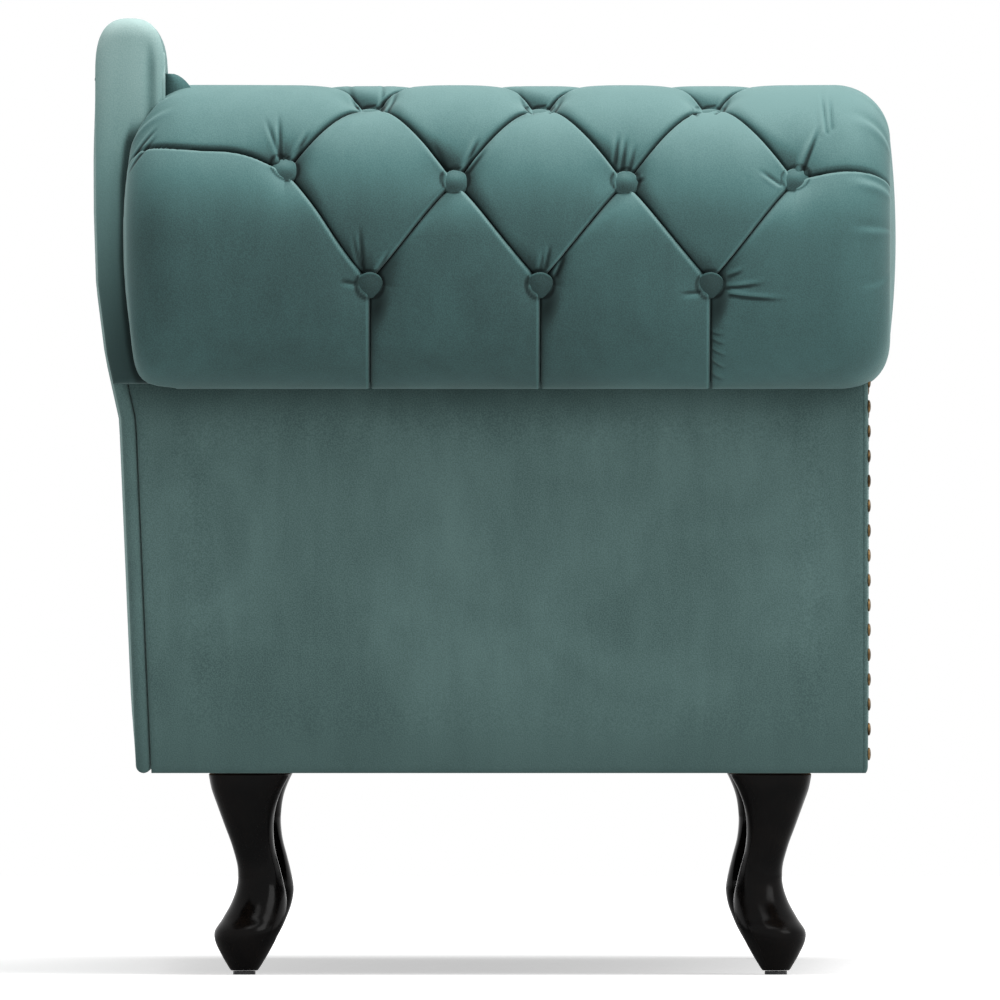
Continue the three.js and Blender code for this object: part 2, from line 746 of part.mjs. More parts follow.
function headCovers() {
  const panelOutline = [[yFrame, zBase], ...rearEdge(zBase, zRoll, frameInset), [yFrame, zRoll]];
  const panel = prismAlongX(panelOutline, xPanel, xPanel + bandThickness);
  addPiece('end_panel', cut(panel, rollRoom(fitGap)), 'velvet');
  const zPanelTop = rollUnderZ(xPanel);
  addPiece('back_end_cover', rearBoard(
    xPanel, xPanel + bandThickness, zPanelTop + fitGap, couchHeight - crestUnder, frameInset, frameDepth,
  ), 'velvet');
  const zUpright = zDeck + insideArmUpright;
  const facing = [
    [xPanel, zBase], [insideArmX(zBase), zBase], [insideArmX(zUpright), zUpright],
    [insideArmX(zRoll), zRoll], [xPanel, zRoll],
  ];
  const board = prismAlongY(facing, yFront, yFront + bandThickness);
  addPiece('arm_front_facing', cut(board, rollRoom(fitGap)), 'velvet');
}

// A row of domed nail heads on a thin strip down the outer edge of the facing
function nailStrip() {
  const x = xPanel + nailEdge;
  const y = yFront - fitGap;
  const zLow = zBase + nailStart;
  const zRoom = rollUnderZ(x) + rollShrinkAt(y) - nailRadius - nailRollGap;
  const nailCount = Math.floor((zRoom - zLow) / nailPitch) + 1;
  const zHigh = zLow + (nailCount - 1) * nailPitch;
  const half = nailStripWidth / 2;
  const strip = block(x - half, x + half, y - nailStripThickness, y, zLow - half, zHigh + half);
  const profile = [[0, 0], [nailRadius, 0]];
  for (const share of nailTurnShares) {
    const angle = Math.PI / 2 * share;
    profile.push([nailRadius * Math.cos(angle), nailHeight * Math.sin(angle)]);
  }
  profile.push([0, nailHeight]);
  const heads = Array.from({ length: nailCount }, (_, i) => {
    const head = new THREE.LatheGeometry(profile.map(([r, h]) => new THREE.Vector2(r, h)), turnSides);
    return head.rotateX(Math.PI).translate(x, y, zLow + i * nailPitch);
  });
  addPiece('arm_nail_strip', joined(strip, ...heads), 'brass');
}

// Back covers

// The crest border: a half oval that runs along the crest and down its end
function crestBorder() {
  const turns = Array.from({ length: borderSides + 1 }, (_, i) => Math.PI * i / borderSides);
  const rings = crest.map(({ point, up }) => {
    const yMiddle = rearY(point.y - up.y * crestDepth) - crestThickness / 2;
    return turns.map((turn) => {
      const drop = crestDepth * (1 - Math.sin(turn));
      const y = yMiddle + crestThickness / 2 * Math.cos(turn);
      return new THREE.Vector3(point.x - up.x * drop, y, point.y - up.y * drop);
    });
  });
  const tips = [middleOf(rings[0]), middleOf(rings[rings.length - 1])];
  addPiece('crest_border', loft(rings, tips), 'velvet');
}

function outsideBack() {
  const board = rearBoard(xPanel, xBackEnd, zBase, couchHeight, 0, outsideThickness);
  const upper = underCrest(xPanel, zBase, 0);
  const foot = block(xPanel, xBackEnd, 0, couchDepth, zBase, zDeck);
  addPiece('outside_back', common(board, joined(upper, foot)), 'velvet');
}

// The tufted pad inside the back: full below, rounded over to the crest border
function insideBack() {
  const zFoot = zDeck + fitGap;
  const zTop = couchHeight - crestUnder;
  const zStep = tuftRow / backStepsPerRow;
  const xStep = tuftPitch / (2 * backStepsPerRow);
  const heights = [zFoot];
  const firstRow = Math.ceil((zFoot + zStep / 2 - backTuftRiseStart) / zStep);
  for (let i = firstRow; backTuftRiseStart + i * zStep < zTop; i++) {
    heights.push(backTuftRiseStart + i * zStep);
  }
  heights.push(zTop);
  const xEnd = xBackEnd - crestUnder;
  const columns = Math.ceil((xEnd - xRoll) / xStep);
  const sinks = [];
  const rings = Array.from({ length: columns + 1 }, (_, i) => {
    const x = xEnd - i * xStep;
    const across = (x - xEnd) / tuftPitch;
    const face = heights.map((z) => {
      const below = Math.max(0, crestHeightAt(x, crestUnder) - z);
      const round = Math.sqrt(1 - Math.max(0, 1 - below / backPadRound) ** 2);
      const sink = round * tuftSink(across, (z - backTuftRiseStart) / tuftRow, columns, columns);
      sinks.push(sink);
      const depth = backPadEdge + (backPadDepth - backPadEdge) * round - sink;
      return new THREE.Vector3(x, rearY(z) - padInset - depth, z);
    });
    const rear = rearEdge(zFoot, zTop, padInset).reverse().map(([y, z]) => new THREE.Vector3(x, y, z));
    sinks.push(...rear.map(() => 0));
    return [...face, ...rear];
  });
  const tips = [middleOf(rings[0]), middleOf(rings[rings.length - 1])];
  const pad = common(loft(rings, tips, sinks), underCrest(xRoll, zFoot, 0));
  addPiece('inside_back', cut(pad, rollRoom(fitGap), insideArmRoom()), 'velvet');
}

// Seat

function seatDeck() {
  const yRear = rearY(zRailTop) - padInset - fitGap;
  const xFootPost = xBackEnd - crestUnder - postWidth - fitGap;
  const xMiddlePost = (xFrameHead + xFootPost) / 2;
  const bays = [
    [xFrameHead + armPostWidth, xMiddlePost],
    [xMiddlePost + postWidth, xFootPost],
    [xFootPost + postWidth, xFrameFoot],
  ];
  bays.forEach(([x0, x1], i) => {
    const x = (x0 + x1) / 2;
    const strap = block(
      x - strapWidth / 2, x + strapWidth / 2, yFrame, yRearFoot - frameInset, zRailTop + fitGap, zStrapTop,
    );
    addPiece(`webbing_strap_${i + 1}`, strap, 'webbing');
  });
  const xHeadEdge = xFrameHead + armPostWidth + fitGap;
  const yBand = yRearFoot - frameInset - fitGap;
  const outline = [
    [xHeadEdge, yFrame], [xFrameFoot, yFrame], [xFrameFoot, yBand], [xBackEnd + fitGap, yBand],
    [xBackEnd + fitGap, yRear], [xHeadEdge, yRear],
  ];
  addPiece('seat_foam', prismAlongZ(outline, zStrapTop + fitGap, zDeck - fitGap), 'foam');
}

// The seat cushion: crowned on top, drawn in at its edges, cut away where the back stands
function seatCushion() {
  const xStart = insideArmX(zDeck) + fitGap;
  const zLow = zDeck + fitGap;
  const yRear = rearY(zDeck);
  const yMiddle = (yFront + yRear) / 2;
  const yHalf = (yRear - yFront) / 2;
  const xMiddle = (xStart + xFoot) / 2;
  const xHalf = (xFoot - xStart) / 2;
  const sideShares = [0, 0.1, 0.35, 0.65, 0.9, 1];
  const topShares = [-0.97, -0.9, -0.7, -0.4, 0, 0.4, 0.7, 0.9, 0.97];
  const lengthShares = [-1, -0.94, -0.86, -0.7, -0.45, -0.2, 0, 0.2, 0.45, 0.7, 0.86, 0.94, 0.98, 1];
  const side = (share) => Math.sqrt(Math.sin(Math.PI * Math.min(1, Math.max(0, share))));
  const rings = lengthShares.map((length) => {
    const crownLength = 1 - Math.max(0, length) ** 6;
    const outline = [];
    for (const share of sideShares) outline.push([-yHalf + cushionDraw * (1 - side(share)), share]);
    for (const share of topShares) {
      outline.push([share * (yHalf - cushionDraw), 1 + (1 - share ** 6) * crownLength]);
    }
    for (const share of [...sideShares].reverse()) {
      outline.push([yHalf - cushionDraw * (1 - side(share)), share]);
    }
    return outline.map(([y, rise]) => {
      const edge = Math.min(1, rise);
      const z = zLow + cushionHeight * edge + cushionCrown * Math.max(0, rise - 1);
      const pull = length < 1 ? 0 : cushionDraw * (1 - side(edge));
      return new THREE.Vector3(xMiddle + length * xHalf - pull, yMiddle + y, z);
    });
  });
  const zHalf = zLow + cushionHeight / 2;
  const tips = [new THREE.Vector3(xStart, yMiddle, zHalf), new THREE.Vector3(xFoot, yMiddle, zHalf)];
  const notch = behindRear(xStart - overrun, xBackEnd + fitGap, padInset + backPadDepth + fitGap);
  addPiece('seat_cushion', cut(loft(rings, tips), notch), 'velvet');
}

// Bands round the base and the cloth under it

function baseBands() {
  const zTop = zDeck - fitGap;
  const xFacing = insideArmX(zBase) + fitGap;
  addPiece('front_band', block(xFacing, xFootBand, yFront, yFront + bandThickness, zBase, zTop), 'velvet');
  const footOutline = [[yFrame, zBase], ...rearEdge(zBase, zTop, frameInset), [yFrame, zTop]];
  addPiece('foot_band', prismAlongX(footOutline, xFootBand - bandThickness, xFootBand), 'velvet');
  addPiece('rear_band', rearBoard(xBackEnd + fitGap, xFootBand, zBase, zTop, 0, outsideThickness), 'velvet');
}

// A rectangle with a notch round each leg
function dustCover() {
  const [frontHead, rearHead, frontFoot] = corners;
  const x0 = xFrameHead;
  const x1 = xFrameFoot;
  const y0 = yFrame;
  const y1 = yRearFoot - frameInset;
  const xa = frontHead.x + dustNotch;
  const xb = frontFoot.x - dustNotch;
  const ya = frontHead.y + dustNotch;
  const yb = rearHead.y - dustNotch;
  const outline = [
    [xa, y0], [xb, y0], [xb, ya], [x1, ya], [x1, yb], [xb, yb],
    [xb, y1], [xa, y1], [xa, yb], [x0, yb], [x0, ya], [xa, ya],
  ];
  addPiece('dust_cover', prismAlongZ(outline, zBase, zRail - fitGap), 'lining');
}

frameRails();
corners.forEach(cornerBlock);
armFrame();
backFrame();
seatDeck();
headRoll();
headRollButtons();
insideArm();
headCovers();
nailStrip();
crestBorder();
outsideBack();
insideBack();
seatCushion();
baseBands();
dustCover();
corners.forEach(leg);
corners.forEach(legFixings);

export default couch;
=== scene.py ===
"""A tufted velvet fainting couch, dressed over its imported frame.

Metres. X runs from the head end to the foot end, the front faces -Y and +Z is up.
"""

import logging
import math
from dataclasses import dataclass, field
from enum import Enum

import bpy
import numpy as np
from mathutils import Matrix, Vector
from mathutils.bvhtree import BVHTree


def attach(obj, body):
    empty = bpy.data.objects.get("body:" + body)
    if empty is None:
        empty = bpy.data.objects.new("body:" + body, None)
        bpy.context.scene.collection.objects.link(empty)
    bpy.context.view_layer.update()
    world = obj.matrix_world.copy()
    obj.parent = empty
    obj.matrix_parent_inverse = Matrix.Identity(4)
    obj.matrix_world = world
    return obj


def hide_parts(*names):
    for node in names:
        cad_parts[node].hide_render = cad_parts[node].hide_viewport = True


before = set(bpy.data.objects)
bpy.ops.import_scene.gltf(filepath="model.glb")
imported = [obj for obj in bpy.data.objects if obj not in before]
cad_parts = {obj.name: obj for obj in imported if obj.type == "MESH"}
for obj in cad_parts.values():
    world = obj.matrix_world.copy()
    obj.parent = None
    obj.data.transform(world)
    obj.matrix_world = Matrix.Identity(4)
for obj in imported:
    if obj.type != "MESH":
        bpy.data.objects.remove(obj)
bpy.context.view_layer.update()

Array = np.ndarray
Material, Piece = bpy.types.Material, bpy.types.Object
Node, Socket = bpy.types.Node, bpy.types.NodeSocket
Triple = tuple[float, float, float]
log = logging.getLogger("couch")
BODY = "root"
TO_HEAD, TO_FOOT = np.array([-1.0, 0, 0]), np.array([1.0, 0, 0])
TO_FRONT, TO_REAR, TO_TOP = np.array([0, -1.0, 0]), np.array([0, 1.0, 0]), np.array([0, 0, 1.0])


class Slot(Enum):
    """The record's material slots."""

    VELVET = "velvet"
    LACQUER = "black_lacquer"
    TIMBER = "frame_timber"
    BRASS = "antique_brass"
    STEEL = "plate_steel"
    FOAM = "seat_foam"
    WEBBING = "webbing"
    LINING = "lining_cloth"
    NYLON = "nylon"


# Sizes that the pieces share


@dataclass(frozen=True)
class CouchSizes:
    """Driving sizes of the couch, as the frame has them, and the places that follow from them."""

    length: float = 1.530
    depth: float = 0.645
    height: float = 0.771
    gap: float = 0.0003
    leg_height: float = 0.163
    band_height: float = 0.157
    band_thickness: float = 0.005
    front_inset: float = 0.0225
    foot_inset: float = 0.005
    roll_overhang: float = 0.080
    back_rake: float = 0.033
    outside_thickness: float = 0.012
    crest_thickness: float = 0.056
    crest_depth: float = 0.050
    crest_rise_power: float = 3.2
    crest_side_power: float = 2.6
    crest_fall_x: float = -0.330
    crest_reach: float = 0.260
    crest_low: float = 0.490
    crest_end_radius: float = 0.060
    back_end_x: float = 0.320
    roll_drop: float = 0.055
    roll_height: float = 0.245
    roll_width: float = 0.216
    inside_arm_reach: float = 0.185
    inside_arm_lean: float = 0.042
    inside_arm_upright: float = 0.080
    tuft_pitch: float = 0.137
    tuft_row: float = 0.082
    tuft_shift: float = 0.036
    button_radius: float = 0.0110
    button_height: float = 0.0065
    cushion_height: float = 0.108
    cushion_crown: float = 0.014

    @property
    def x_head(self) -> float:
        """The outermost X at the head end."""
        return -self.length / 2

    @property
    def x_panel(self) -> float:
        """The outer face of the end panel."""
        return self.x_head + self.roll_overhang

    @property
    def x_foot(self) -> float:
        """The outermost X at the foot end."""
        return self.length / 2

    @property
    def x_foot_band(self) -> float:
        """The outer face of the foot band."""
        return self.x_foot - self.foot_inset

    @property
    def y_front(self) -> float:
        """The front face of the base."""
        return self.front_inset - self.depth / 2

    @property
    def y_rear_foot(self) -> float:
        """The rear face at the base."""
        return self.depth / 2 - self.back_rake

    @property
    def z_deck(self) -> float:
        """The top of the base box."""
        return self.leg_height + self.band_height

    @property
    def x_roll(self) -> float:
        """The axis of the head roll along X."""
        return self.x_head + self.roll_width / 2

    @property
    def z_roll(self) -> float:
        """The height of the axis of the head roll."""
        return self.height - self.roll_drop - self.roll_height / 2

    @property
    def crest_under(self) -> float:
        """How far under the crest line the border's seam lies."""
        return self.crest_depth + self.gap

    @property
    def x_back_inner(self) -> float:
        """Where the padded back ends, beside the border that comes down."""
        return self.back_end_x - self.crest_under

    def rear_y(self, z: Array) -> Array:
        """The Y of the raking rear surface: straight stretches between chosen shares of its height.

        Args:
            z: Heights.

        Returns:
            The Y at each height.
        """
        height_shares = np.array([0, 0.51, 0.602, 0.705, 0.81, 1])
        lean_shares = np.array([0, 0.366, 0.71, 0.93, 0.985, 1])
        share = (np.asarray(z) - self.leg_height) / (self.height - self.crest_depth - self.leg_height)
        return self.y_rear_foot + self.back_rake * np.interp(share, height_shares, lean_shares)

    def inside_arm_x(self, z: Array) -> Array:
        """The X of the pad inside the arm: upright by the seat, then leaning back to the roll.

        Args:
            z: Heights.

        Returns:
            The X at each height.
        """
        z_lean = self.z_deck + self.inside_arm_upright
        share = np.clip((np.asarray(z) - z_lean) / (self.z_roll - z_lean), 0, 1)
        return self.x_panel + self.inside_arm_reach - self.inside_arm_lean * share

    def crest_path(self, step: float) -> tuple[Array, Array]:
        """The crest line seen from the front: level, falling in one S curve, round, then straight down.

        The fall is the cubic curve with level ends, and the end is a quarter circle.

        Args:
            step: The spacing of the points.

        Returns:
            The points in X and Z, head end first, and the unit direction that is up from each.
        """
        x_bend = self.back_end_x - self.crest_end_radius
        level = np.array([[self.x_panel, self.height], [self.crest_fall_x, self.height]])
        t = np.linspace(0, 1, 200)[1:, None]
        knots = np.array([
            [self.crest_fall_x, self.height], [self.crest_fall_x + self.crest_reach, self.height],
            [x_bend - self.crest_reach, self.crest_low], [x_bend, self.crest_low],
        ])
        fall = (1 - t) ** 3 * knots[0] + 3 * (1 - t) ** 2 * t * knots[1]
        fall = fall + 3 * (1 - t) * t ** 2 * knots[2] + t ** 3 * knots[3]
        turn = np.linspace(0, math.pi / 2, 60)[1:]
        centre = np.array([x_bend, self.crest_low - self.crest_end_radius])
        arc = centre + self.crest_end_radius * np.stack([np.sin(turn), np.cos(turn)], 1)
        foot = np.array([[self.back_end_x, self.z_deck + self.gap]])
        line = np.concatenate([level, fall, arc, foot])
        run = np.concatenate([[0], np.cumsum(np.hypot(*np.diff(line, axis=0).T))])
        at = np.linspace(0, run[-1], int(run[-1] / step) + 1)
        points = np.stack([np.interp(at, run, line[:, k]) for k in range(2)], 1)
        along = np.gradient(points, axis=0)
        along = along / np.linalg.norm(along, axis=1, keepdims=True)
        return points, np.stack([-along[:, 1], along[:, 0]], 1)

    def seam_z(self, x: Array, drop: float) -> Array:
        """The height of the crest line moved down by a drop, along its own normals.

        Args:
            x: Places along the couch.
            drop: How far the line is moved.

        Returns:
            The height over each place.
        """
        points, up = self.crest_path(0.004)
        line = points - drop * up
        keep = line[:, 1] > self.crest_low - self.crest_end_radius
        return np.interp(x, line[keep, 0], line[keep, 1])


SIZES = CouchSizes()


# Meshes worked out on grids


def smooth_step(low: float, high: float, value: Array) -> Array:
    """A cubic ramp from 0 at low to 1 at high.

    Args:
        low: Where the ramp starts.
        high: Where it ends.
        value: Places on the ramp.

    Returns:
        The ramp's height at each place.
    """
    t = np.clip((value - low) / (high - low), 0, 1)
    return t * t * (3 - 2 * t)


def round_edge(distance: Array, radius: float) -> Array:
    """A quarter circle's rise from 0 at an edge to 1 at one radius from it.

    Args:
        distance: How far from the edge.
        radius: The circle's radius.

    Returns:
        The share of the full height.
    """
    t = np.clip(distance / radius, 0, 1)
    return np.sqrt(np.maximum(0, 1 - (1 - t) ** 2))


def stations(start: float, end: float, step: float, radius: float = 0.0, turns: int = 6) -> Array:
    """Places from start to end, even in the middle and crowded like a turning circle at both ends.

    Args:
        start: The first place.
        end: The last place.
        step: The spacing in the middle.
        radius: The length of each crowded end.
        turns: How many places each crowded end has.

    Returns:
        The places, in order.
    """
    count = max(2, round((end - start - 2 * radius) / step) + 1)
    middle = np.linspace(start + radius, end - radius, count)
    if not radius:
        return middle
    turn = radius * (1 - np.cos(np.linspace(0, math.pi / 2, turns, endpoint=False)))
    return np.concatenate([start + turn, middle, end - turn[::-1]])


def grid_faces(index: Array) -> Array:
    """The four-sided faces between neighbours of a grid of vertex numbers.

    Args:
        index: The vertex numbers, in rows and columns.

    Returns:
        One row of four numbers a face.
    """
    a, b = index[:-1, :-1], index[1:, :-1]
    c, d = index[1:, 1:], index[:-1, 1:]
    return np.stack([a, b, c, d], -1).reshape(-1, 4)


def unit(vectors: Array) -> Array:
    """Vectors with a length of one."""
    return vectors / np.maximum(np.linalg.norm(vectors, axis=-1, keepdims=True), 1e-12)


@dataclass
class Body:
    """Closed skins gathered into one mesh."""

    points: list[Array] = field(default_factory=list)
    faces: list[list[list[int]]] = field(default_factory=list)
    count: int = 0

    def add(self, points: Array, faces: list[list[int]]) -> None:
        """Adds one closed skin, turned so that its faces point out.

        The signed volume is the sum of the cones from the origin to each triangle of the skin.

        Args:
            points: The skin's points.
            faces: Its faces, as lists of point numbers.
        """
        corners = np.array([[f[0], f[i], f[i + 1]] for f in faces for i in range(1, len(f) - 1)])
        middle = points.mean(axis=0)
        a, b, c = (points[corners[:, k]] - middle for k in range(3))
        volume = np.einsum("ij,ij->i", a, np.cross(b, c)).sum()
        turned = faces if volume > 0 else [list(reversed(f)) for f in faces]
        self.points.append(points)
        self.faces.append([[i + self.count for i in f] for f in turned])
        self.count += len(points)

    def add_shell(self, front: Array, back: Array) -> None:
        """Adds a pad between two grids that share their rims.

        Args:
            front: The outer grid of points.
            back: The inner grid, whose rim is taken from the front's.
        """
        rows, columns = front.shape[:2]
        outer = np.arange(rows * columns).reshape(rows, columns)
        inner = outer.copy()
        inside = (rows - 2) * (columns - 2)
        inner[1:-1, 1:-1] = rows * columns + np.arange(inside).reshape(rows - 2, columns - 2)
        points = np.concatenate([front.reshape(-1, 3), back[1:-1, 1:-1].reshape(-1, 3)])
        faces = np.concatenate([grid_faces(outer), grid_faces(inner)[:, ::-1]])
        self.add(points, faces.tolist())

    def add_tube(self, rings: Array, tips: Array | None = None, closed: bool = False) -> None:
        """Adds a skin through rings of points, closed by a tip at each end or joined into a loop.

        Args:
            rings: The points, by ring and by place round the ring.
            tips: The two end points, or None for the middles of the end rings.
            closed: Whether the last ring joins the first.
        """
        count, sides = rings.shape[:2]
        index = np.arange(count * sides).reshape(count, sides)
        wrapped = np.concatenate([index, index[:, :1]], 1)
        if closed:
            wrapped = np.concatenate([wrapped, wrapped[:1]])
            self.add(rings.reshape(-1, 3), grid_faces(wrapped).tolist())
            return
        ends = np.stack([rings[0].mean(0), rings[-1].mean(0)]) if tips is None else tips
        faces = grid_faces(wrapped).tolist()
        start, end = count * sides, count * sides + 1
        for j in range(sides):
            faces.append([start, wrapped[0, j], wrapped[0, j + 1]])
            faces.append([end, wrapped[-1, j + 1], wrapped[-1, j]])
        faces = [[int(i) for i in f] for f in faces]
        self.add(np.concatenate([rings.reshape(-1, 3), ends]), faces)

    def piece(self, name: str, material: Material, slot: Slot, painted_shading: Array | None = None) -> Piece:
        """Makes the mesh object, gives it its finish and lets it ride on the couch.

        Args:
            name: The piece's name.
            material: Its material.
            slot: The record's slot that the material stands for. It is not used.
            painted_shading: Painted shading at the first points: below 0 painted shade, above 0 painted
                highlight.

        Returns:
            The new object.
        """
        mesh = bpy.data.meshes.new(name)
        points = np.concatenate(self.points)
        mesh.from_pydata(points.tolist(), [], [f for skin in self.faces for f in skin])
        mesh.polygons.foreach_set("use_smooth", np.ones(len(mesh.polygons), bool))
        mesh.materials.append(material)
        # Painted shading on the points: painted shade below 0, painted highlight above 0
        if painted_shading is not None:
            values = np.zeros(len(mesh.vertices))
            values[:painted_shading.size] = painted_shading.ravel()
            mesh.attributes.new("painted_shade_highlight", "FLOAT", "POINT").data.foreach_set("value", values)
        mesh.update()
        piece = bpy.data.objects.new(name, mesh)
        bpy.context.scene.collection.objects.link(piece)
        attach(piece, BODY)
        log.info("%s: %d faces", name, len(mesh.polygons))
        return piece


def cord_rings(path: Array, normal: Array, radius: float, sides: int = 10, closed: bool = False) -> Array:
    """Rings of a round cord: circles square to the path, started from a given normal.

    Args:
        path: The points of the middle line.
        normal: A direction that is never along the path, one for all or one for each point.
        radius: The cord's radius.
        sides: How many points each ring has.
        closed: Whether the path joins its own start.

    Returns:
        The points, by ring and by place round the ring.
    """
    if closed:
        along = unit(np.roll(path, -1, axis=0) - np.roll(path, 1, axis=0))
    else:
        along = unit(np.gradient(path, axis=0))
    side = unit(np.cross(along, np.broadcast_to(normal, path.shape)))
    up = np.cross(side, along)
    turn = np.linspace(0, 2 * math.pi, sides, endpoint=False)[None, :, None]
    return path[:, None] + radius * (np.cos(turn) * side[:, None] + np.sin(turn) * up[:, None])


def lathe_rings(profile: Array, middle: Array, axis: Array, sides: int) -> Array:
    """Rings of a turned form that stands on a place.

    Args:
        profile: Radius and height of each ring.
        middle: Where the form stands.
        axis: The direction it stands in.
        sides: How many points each ring has.

    Returns:
        The points, by ring and by place round the ring.
    """
    axis = unit(np.asarray(axis, float))
    helper = np.array([0.0, 1.0, 0.0]) if abs(axis[1]) < 0.8 else np.array([1.0, 0.0, 0.0])
    side = unit(np.cross(axis, helper))
    up = np.cross(axis, side)
    turn = np.linspace(0, 2 * math.pi, sides, endpoint=False)[None, :, None]
    radius, height = profile[:, 0, None, None], profile[:, 1, None, None]
    return middle + radius * (np.cos(turn) * side + np.sin(turn) * up) + height * axis


# Diamond tufting


@dataclass(frozen=True)
class TuftField:
    """Padding pulled in at a diamond lattice of buttons, with lapped pleats from button to button.

    Across and along are counted in buttons: even rows have buttons at whole counts, odd rows at half
    counts. Past the last column or row the pleats run on straight. At each pleat the pad on its
    higher across side laps over the other one with a tight edge.
    """

    columns: float
    first_row: float
    last_row: float
    crown: float = 0.0046
    pleat_depth: float = 0.0042
    lap_round: float = 0.0034
    tuck_round: float = 0.0085
    tuck_spread: float = 0.010
    end_round: float = 0.0045
    slit_depth: float = 0.0022
    slit_width: float = 0.0009
    button_pull: float = 0.0042
    dimple_depth: float = 0.0036
    dimple_radius: float = 0.0165
    pull_reach: float = 0.024
    crowd_reach: float = 0.009
    crowd_power: float = 1.5
    row_step: float = 0.082
    # Painted shading: a dark ring round each button, painted shade in each slit and under each lap, a painted
    # highlight on each lapping edge
    ring_painted_shade: float = -0.9
    ring_radius: float = 0.0112
    ring_width: float = 0.0012
    slit_painted_shade: float = -1.1
    slit_shift: float = 0.0001
    slit_shade: float = 0.0010
    edge_painted_highlights: tuple[float, float] = (0.75, 1.55)
    edge_place: float = 0.0019
    edge_width: float = 0.0009
    under_reach: float = 0.0040
    under_spread: float = 0.010
    under_painted_shade: float = 0.14
    under_gain: float = 0.42
    without: tuple[tuple[float, float], ...] = ()
    sizes: CouchSizes = SIZES

    @property
    def full_depth(self) -> float:
        """How deep the cloth lies under a button."""
        return self.crown + self.pleat_depth + self.button_pull + self.dimple_depth

    def _lines(self, across: Array, along: Array) -> tuple[Array, ...]:
        """The two families of pleats: their phases, which are whole on a pleat, and the phases' slopes."""
        a = np.clip(across, -self.columns, self.columns)
        b = np.clip(along, self.first_row, self.last_row)
        slope_a = np.where(np.abs(across) < self.columns, 1 / self.sizes.tuft_pitch, 0)
        inside = (along > self.first_row) & (along < self.last_row)
        slope_b = np.where(inside, 0.5 / self.row_step, 0)
        return a + b / 2, a - b / 2, slope_a, slope_b

    def crowded(self, across: Array, along: Array) -> tuple[Array, Array]:
        """Moves places towards their nearest pleats, so that a grid has its points where the cloth turns.

        The distance to a pleat, as a share of the reach, is raised to a power.

        Args:
            across: Places across, in buttons.
            along: Places along, in buttons.

        Returns:
            The moved places.
        """
        first, second, slope_a, slope_b = self._lines(across, along)
        slope = np.maximum(np.hypot(slope_a, slope_b), 1e-6)
        shift_a, shift_b = np.zeros_like(across), np.zeros_like(along)
        for phase, sign in ((first, 1.0), (second, -1.0)):
            offset = (phase - np.round(phase)) / slope
            share = np.clip(np.abs(offset) / self.crowd_reach, 0, 1)
            moved = np.sign(offset) * self.crowd_reach * share ** self.crowd_power
            push = np.where(share < 1, moved - offset, 0) / slope
            weight = 1.0 if sign > 0 else np.where((slope_a > 0) & (slope_b > 0), 1.0, 0.0)
            shift_a = shift_a + weight * push * slope_a
            shift_b = shift_b + weight * sign * push * slope_b
        return across + shift_a / self.sizes.tuft_pitch, along + shift_b / self.row_step

    def _buttons(self, first: Array, second: Array, across: Array, along: Array) -> tuple[Array, Array]:
        """How near each place is to its nearest button: a broad share from the phases, and metres.

        The share dies away along the pleats that run on past the last column or row.
        """
        past = np.maximum(np.maximum(self.first_row - along, along - self.last_row), 0) * self.row_step
        past = past + np.maximum(np.abs(across) - self.columns, 0) * self.sizes.tuft_pitch
        near = (np.cos(math.pi * first) * np.cos(math.pi * second)) ** 2 * np.exp(-past / self.pull_reach)
        p, q = np.round(first), np.round(second)
        dx = (across - (p + q) / 2) * self.sizes.tuft_pitch
        dz = (along - (p - q)) * self.row_step
        real = (np.abs(p + q) / 2 <= self.columns) & (p - q >= self.first_row) & (p - q <= self.last_row)
        for column, row in self.without:
            here = (np.abs((p + q) / 2 - column) < 0.1) & (np.abs(p - q - row) < 0.1)
            near, real = np.where(here, 0.0, near), real & ~here
        return near, np.where(real, np.hypot(dx, dz), 1.0)

    def sink(self, across: Array, along: Array) -> Array:
        """How far the cloth lies under the full height of the padding.

        A broad crown falls to the pleats. Each pleat is a lap: a tight quarter circle on one side, a
        wider one on the other that spreads near the buttons, and a narrow slit between them. The
        cloth dips towards every button and in a small bowl round it.

        Args:
            across: Places across, in buttons.
            along: Places along, in buttons.

        Returns:
            The depth at each place.
        """
        first, second, slope_a, slope_b = self._lines(across, along)
        slope = np.maximum(np.hypot(slope_a, slope_b), 1e-6)
        near, gap = self._buttons(first, second, across, along)
        wave = np.abs(np.sin(math.pi * first) * np.sin(math.pi * second))
        tuck = np.where(slope_a > 0, self.tuck_round + self.tuck_spread * near, self.end_round)
        height, slit = np.ones_like(across), np.zeros_like(across)
        for order, phase in enumerate((first, second)):
            offset = (phase - np.round(phase)) / slope
            lap = round_edge(np.maximum(offset, 0), self.lap_round)
            edge = np.where(offset > 0, lap, round_edge(np.maximum(-offset, 0), tuck))
            cut = np.exp(-((offset / self.slit_width) ** 2))
            if order == 0:
                edge, cut = np.where(slope_a > 0, edge, 1.0), np.where(slope_a > 0, cut, 0.0)
            height, slit = height * edge, np.maximum(slit, cut)
        dimple = np.exp(-((gap / self.dimple_radius) ** 2))
        return (self.crown * (1 - wave ** 0.42) + self.pleat_depth * (1 - height)
                + self.slit_depth * slit * (1 - dimple) + self.button_pull * near ** 1.3
                + self.dimple_depth * dimple)

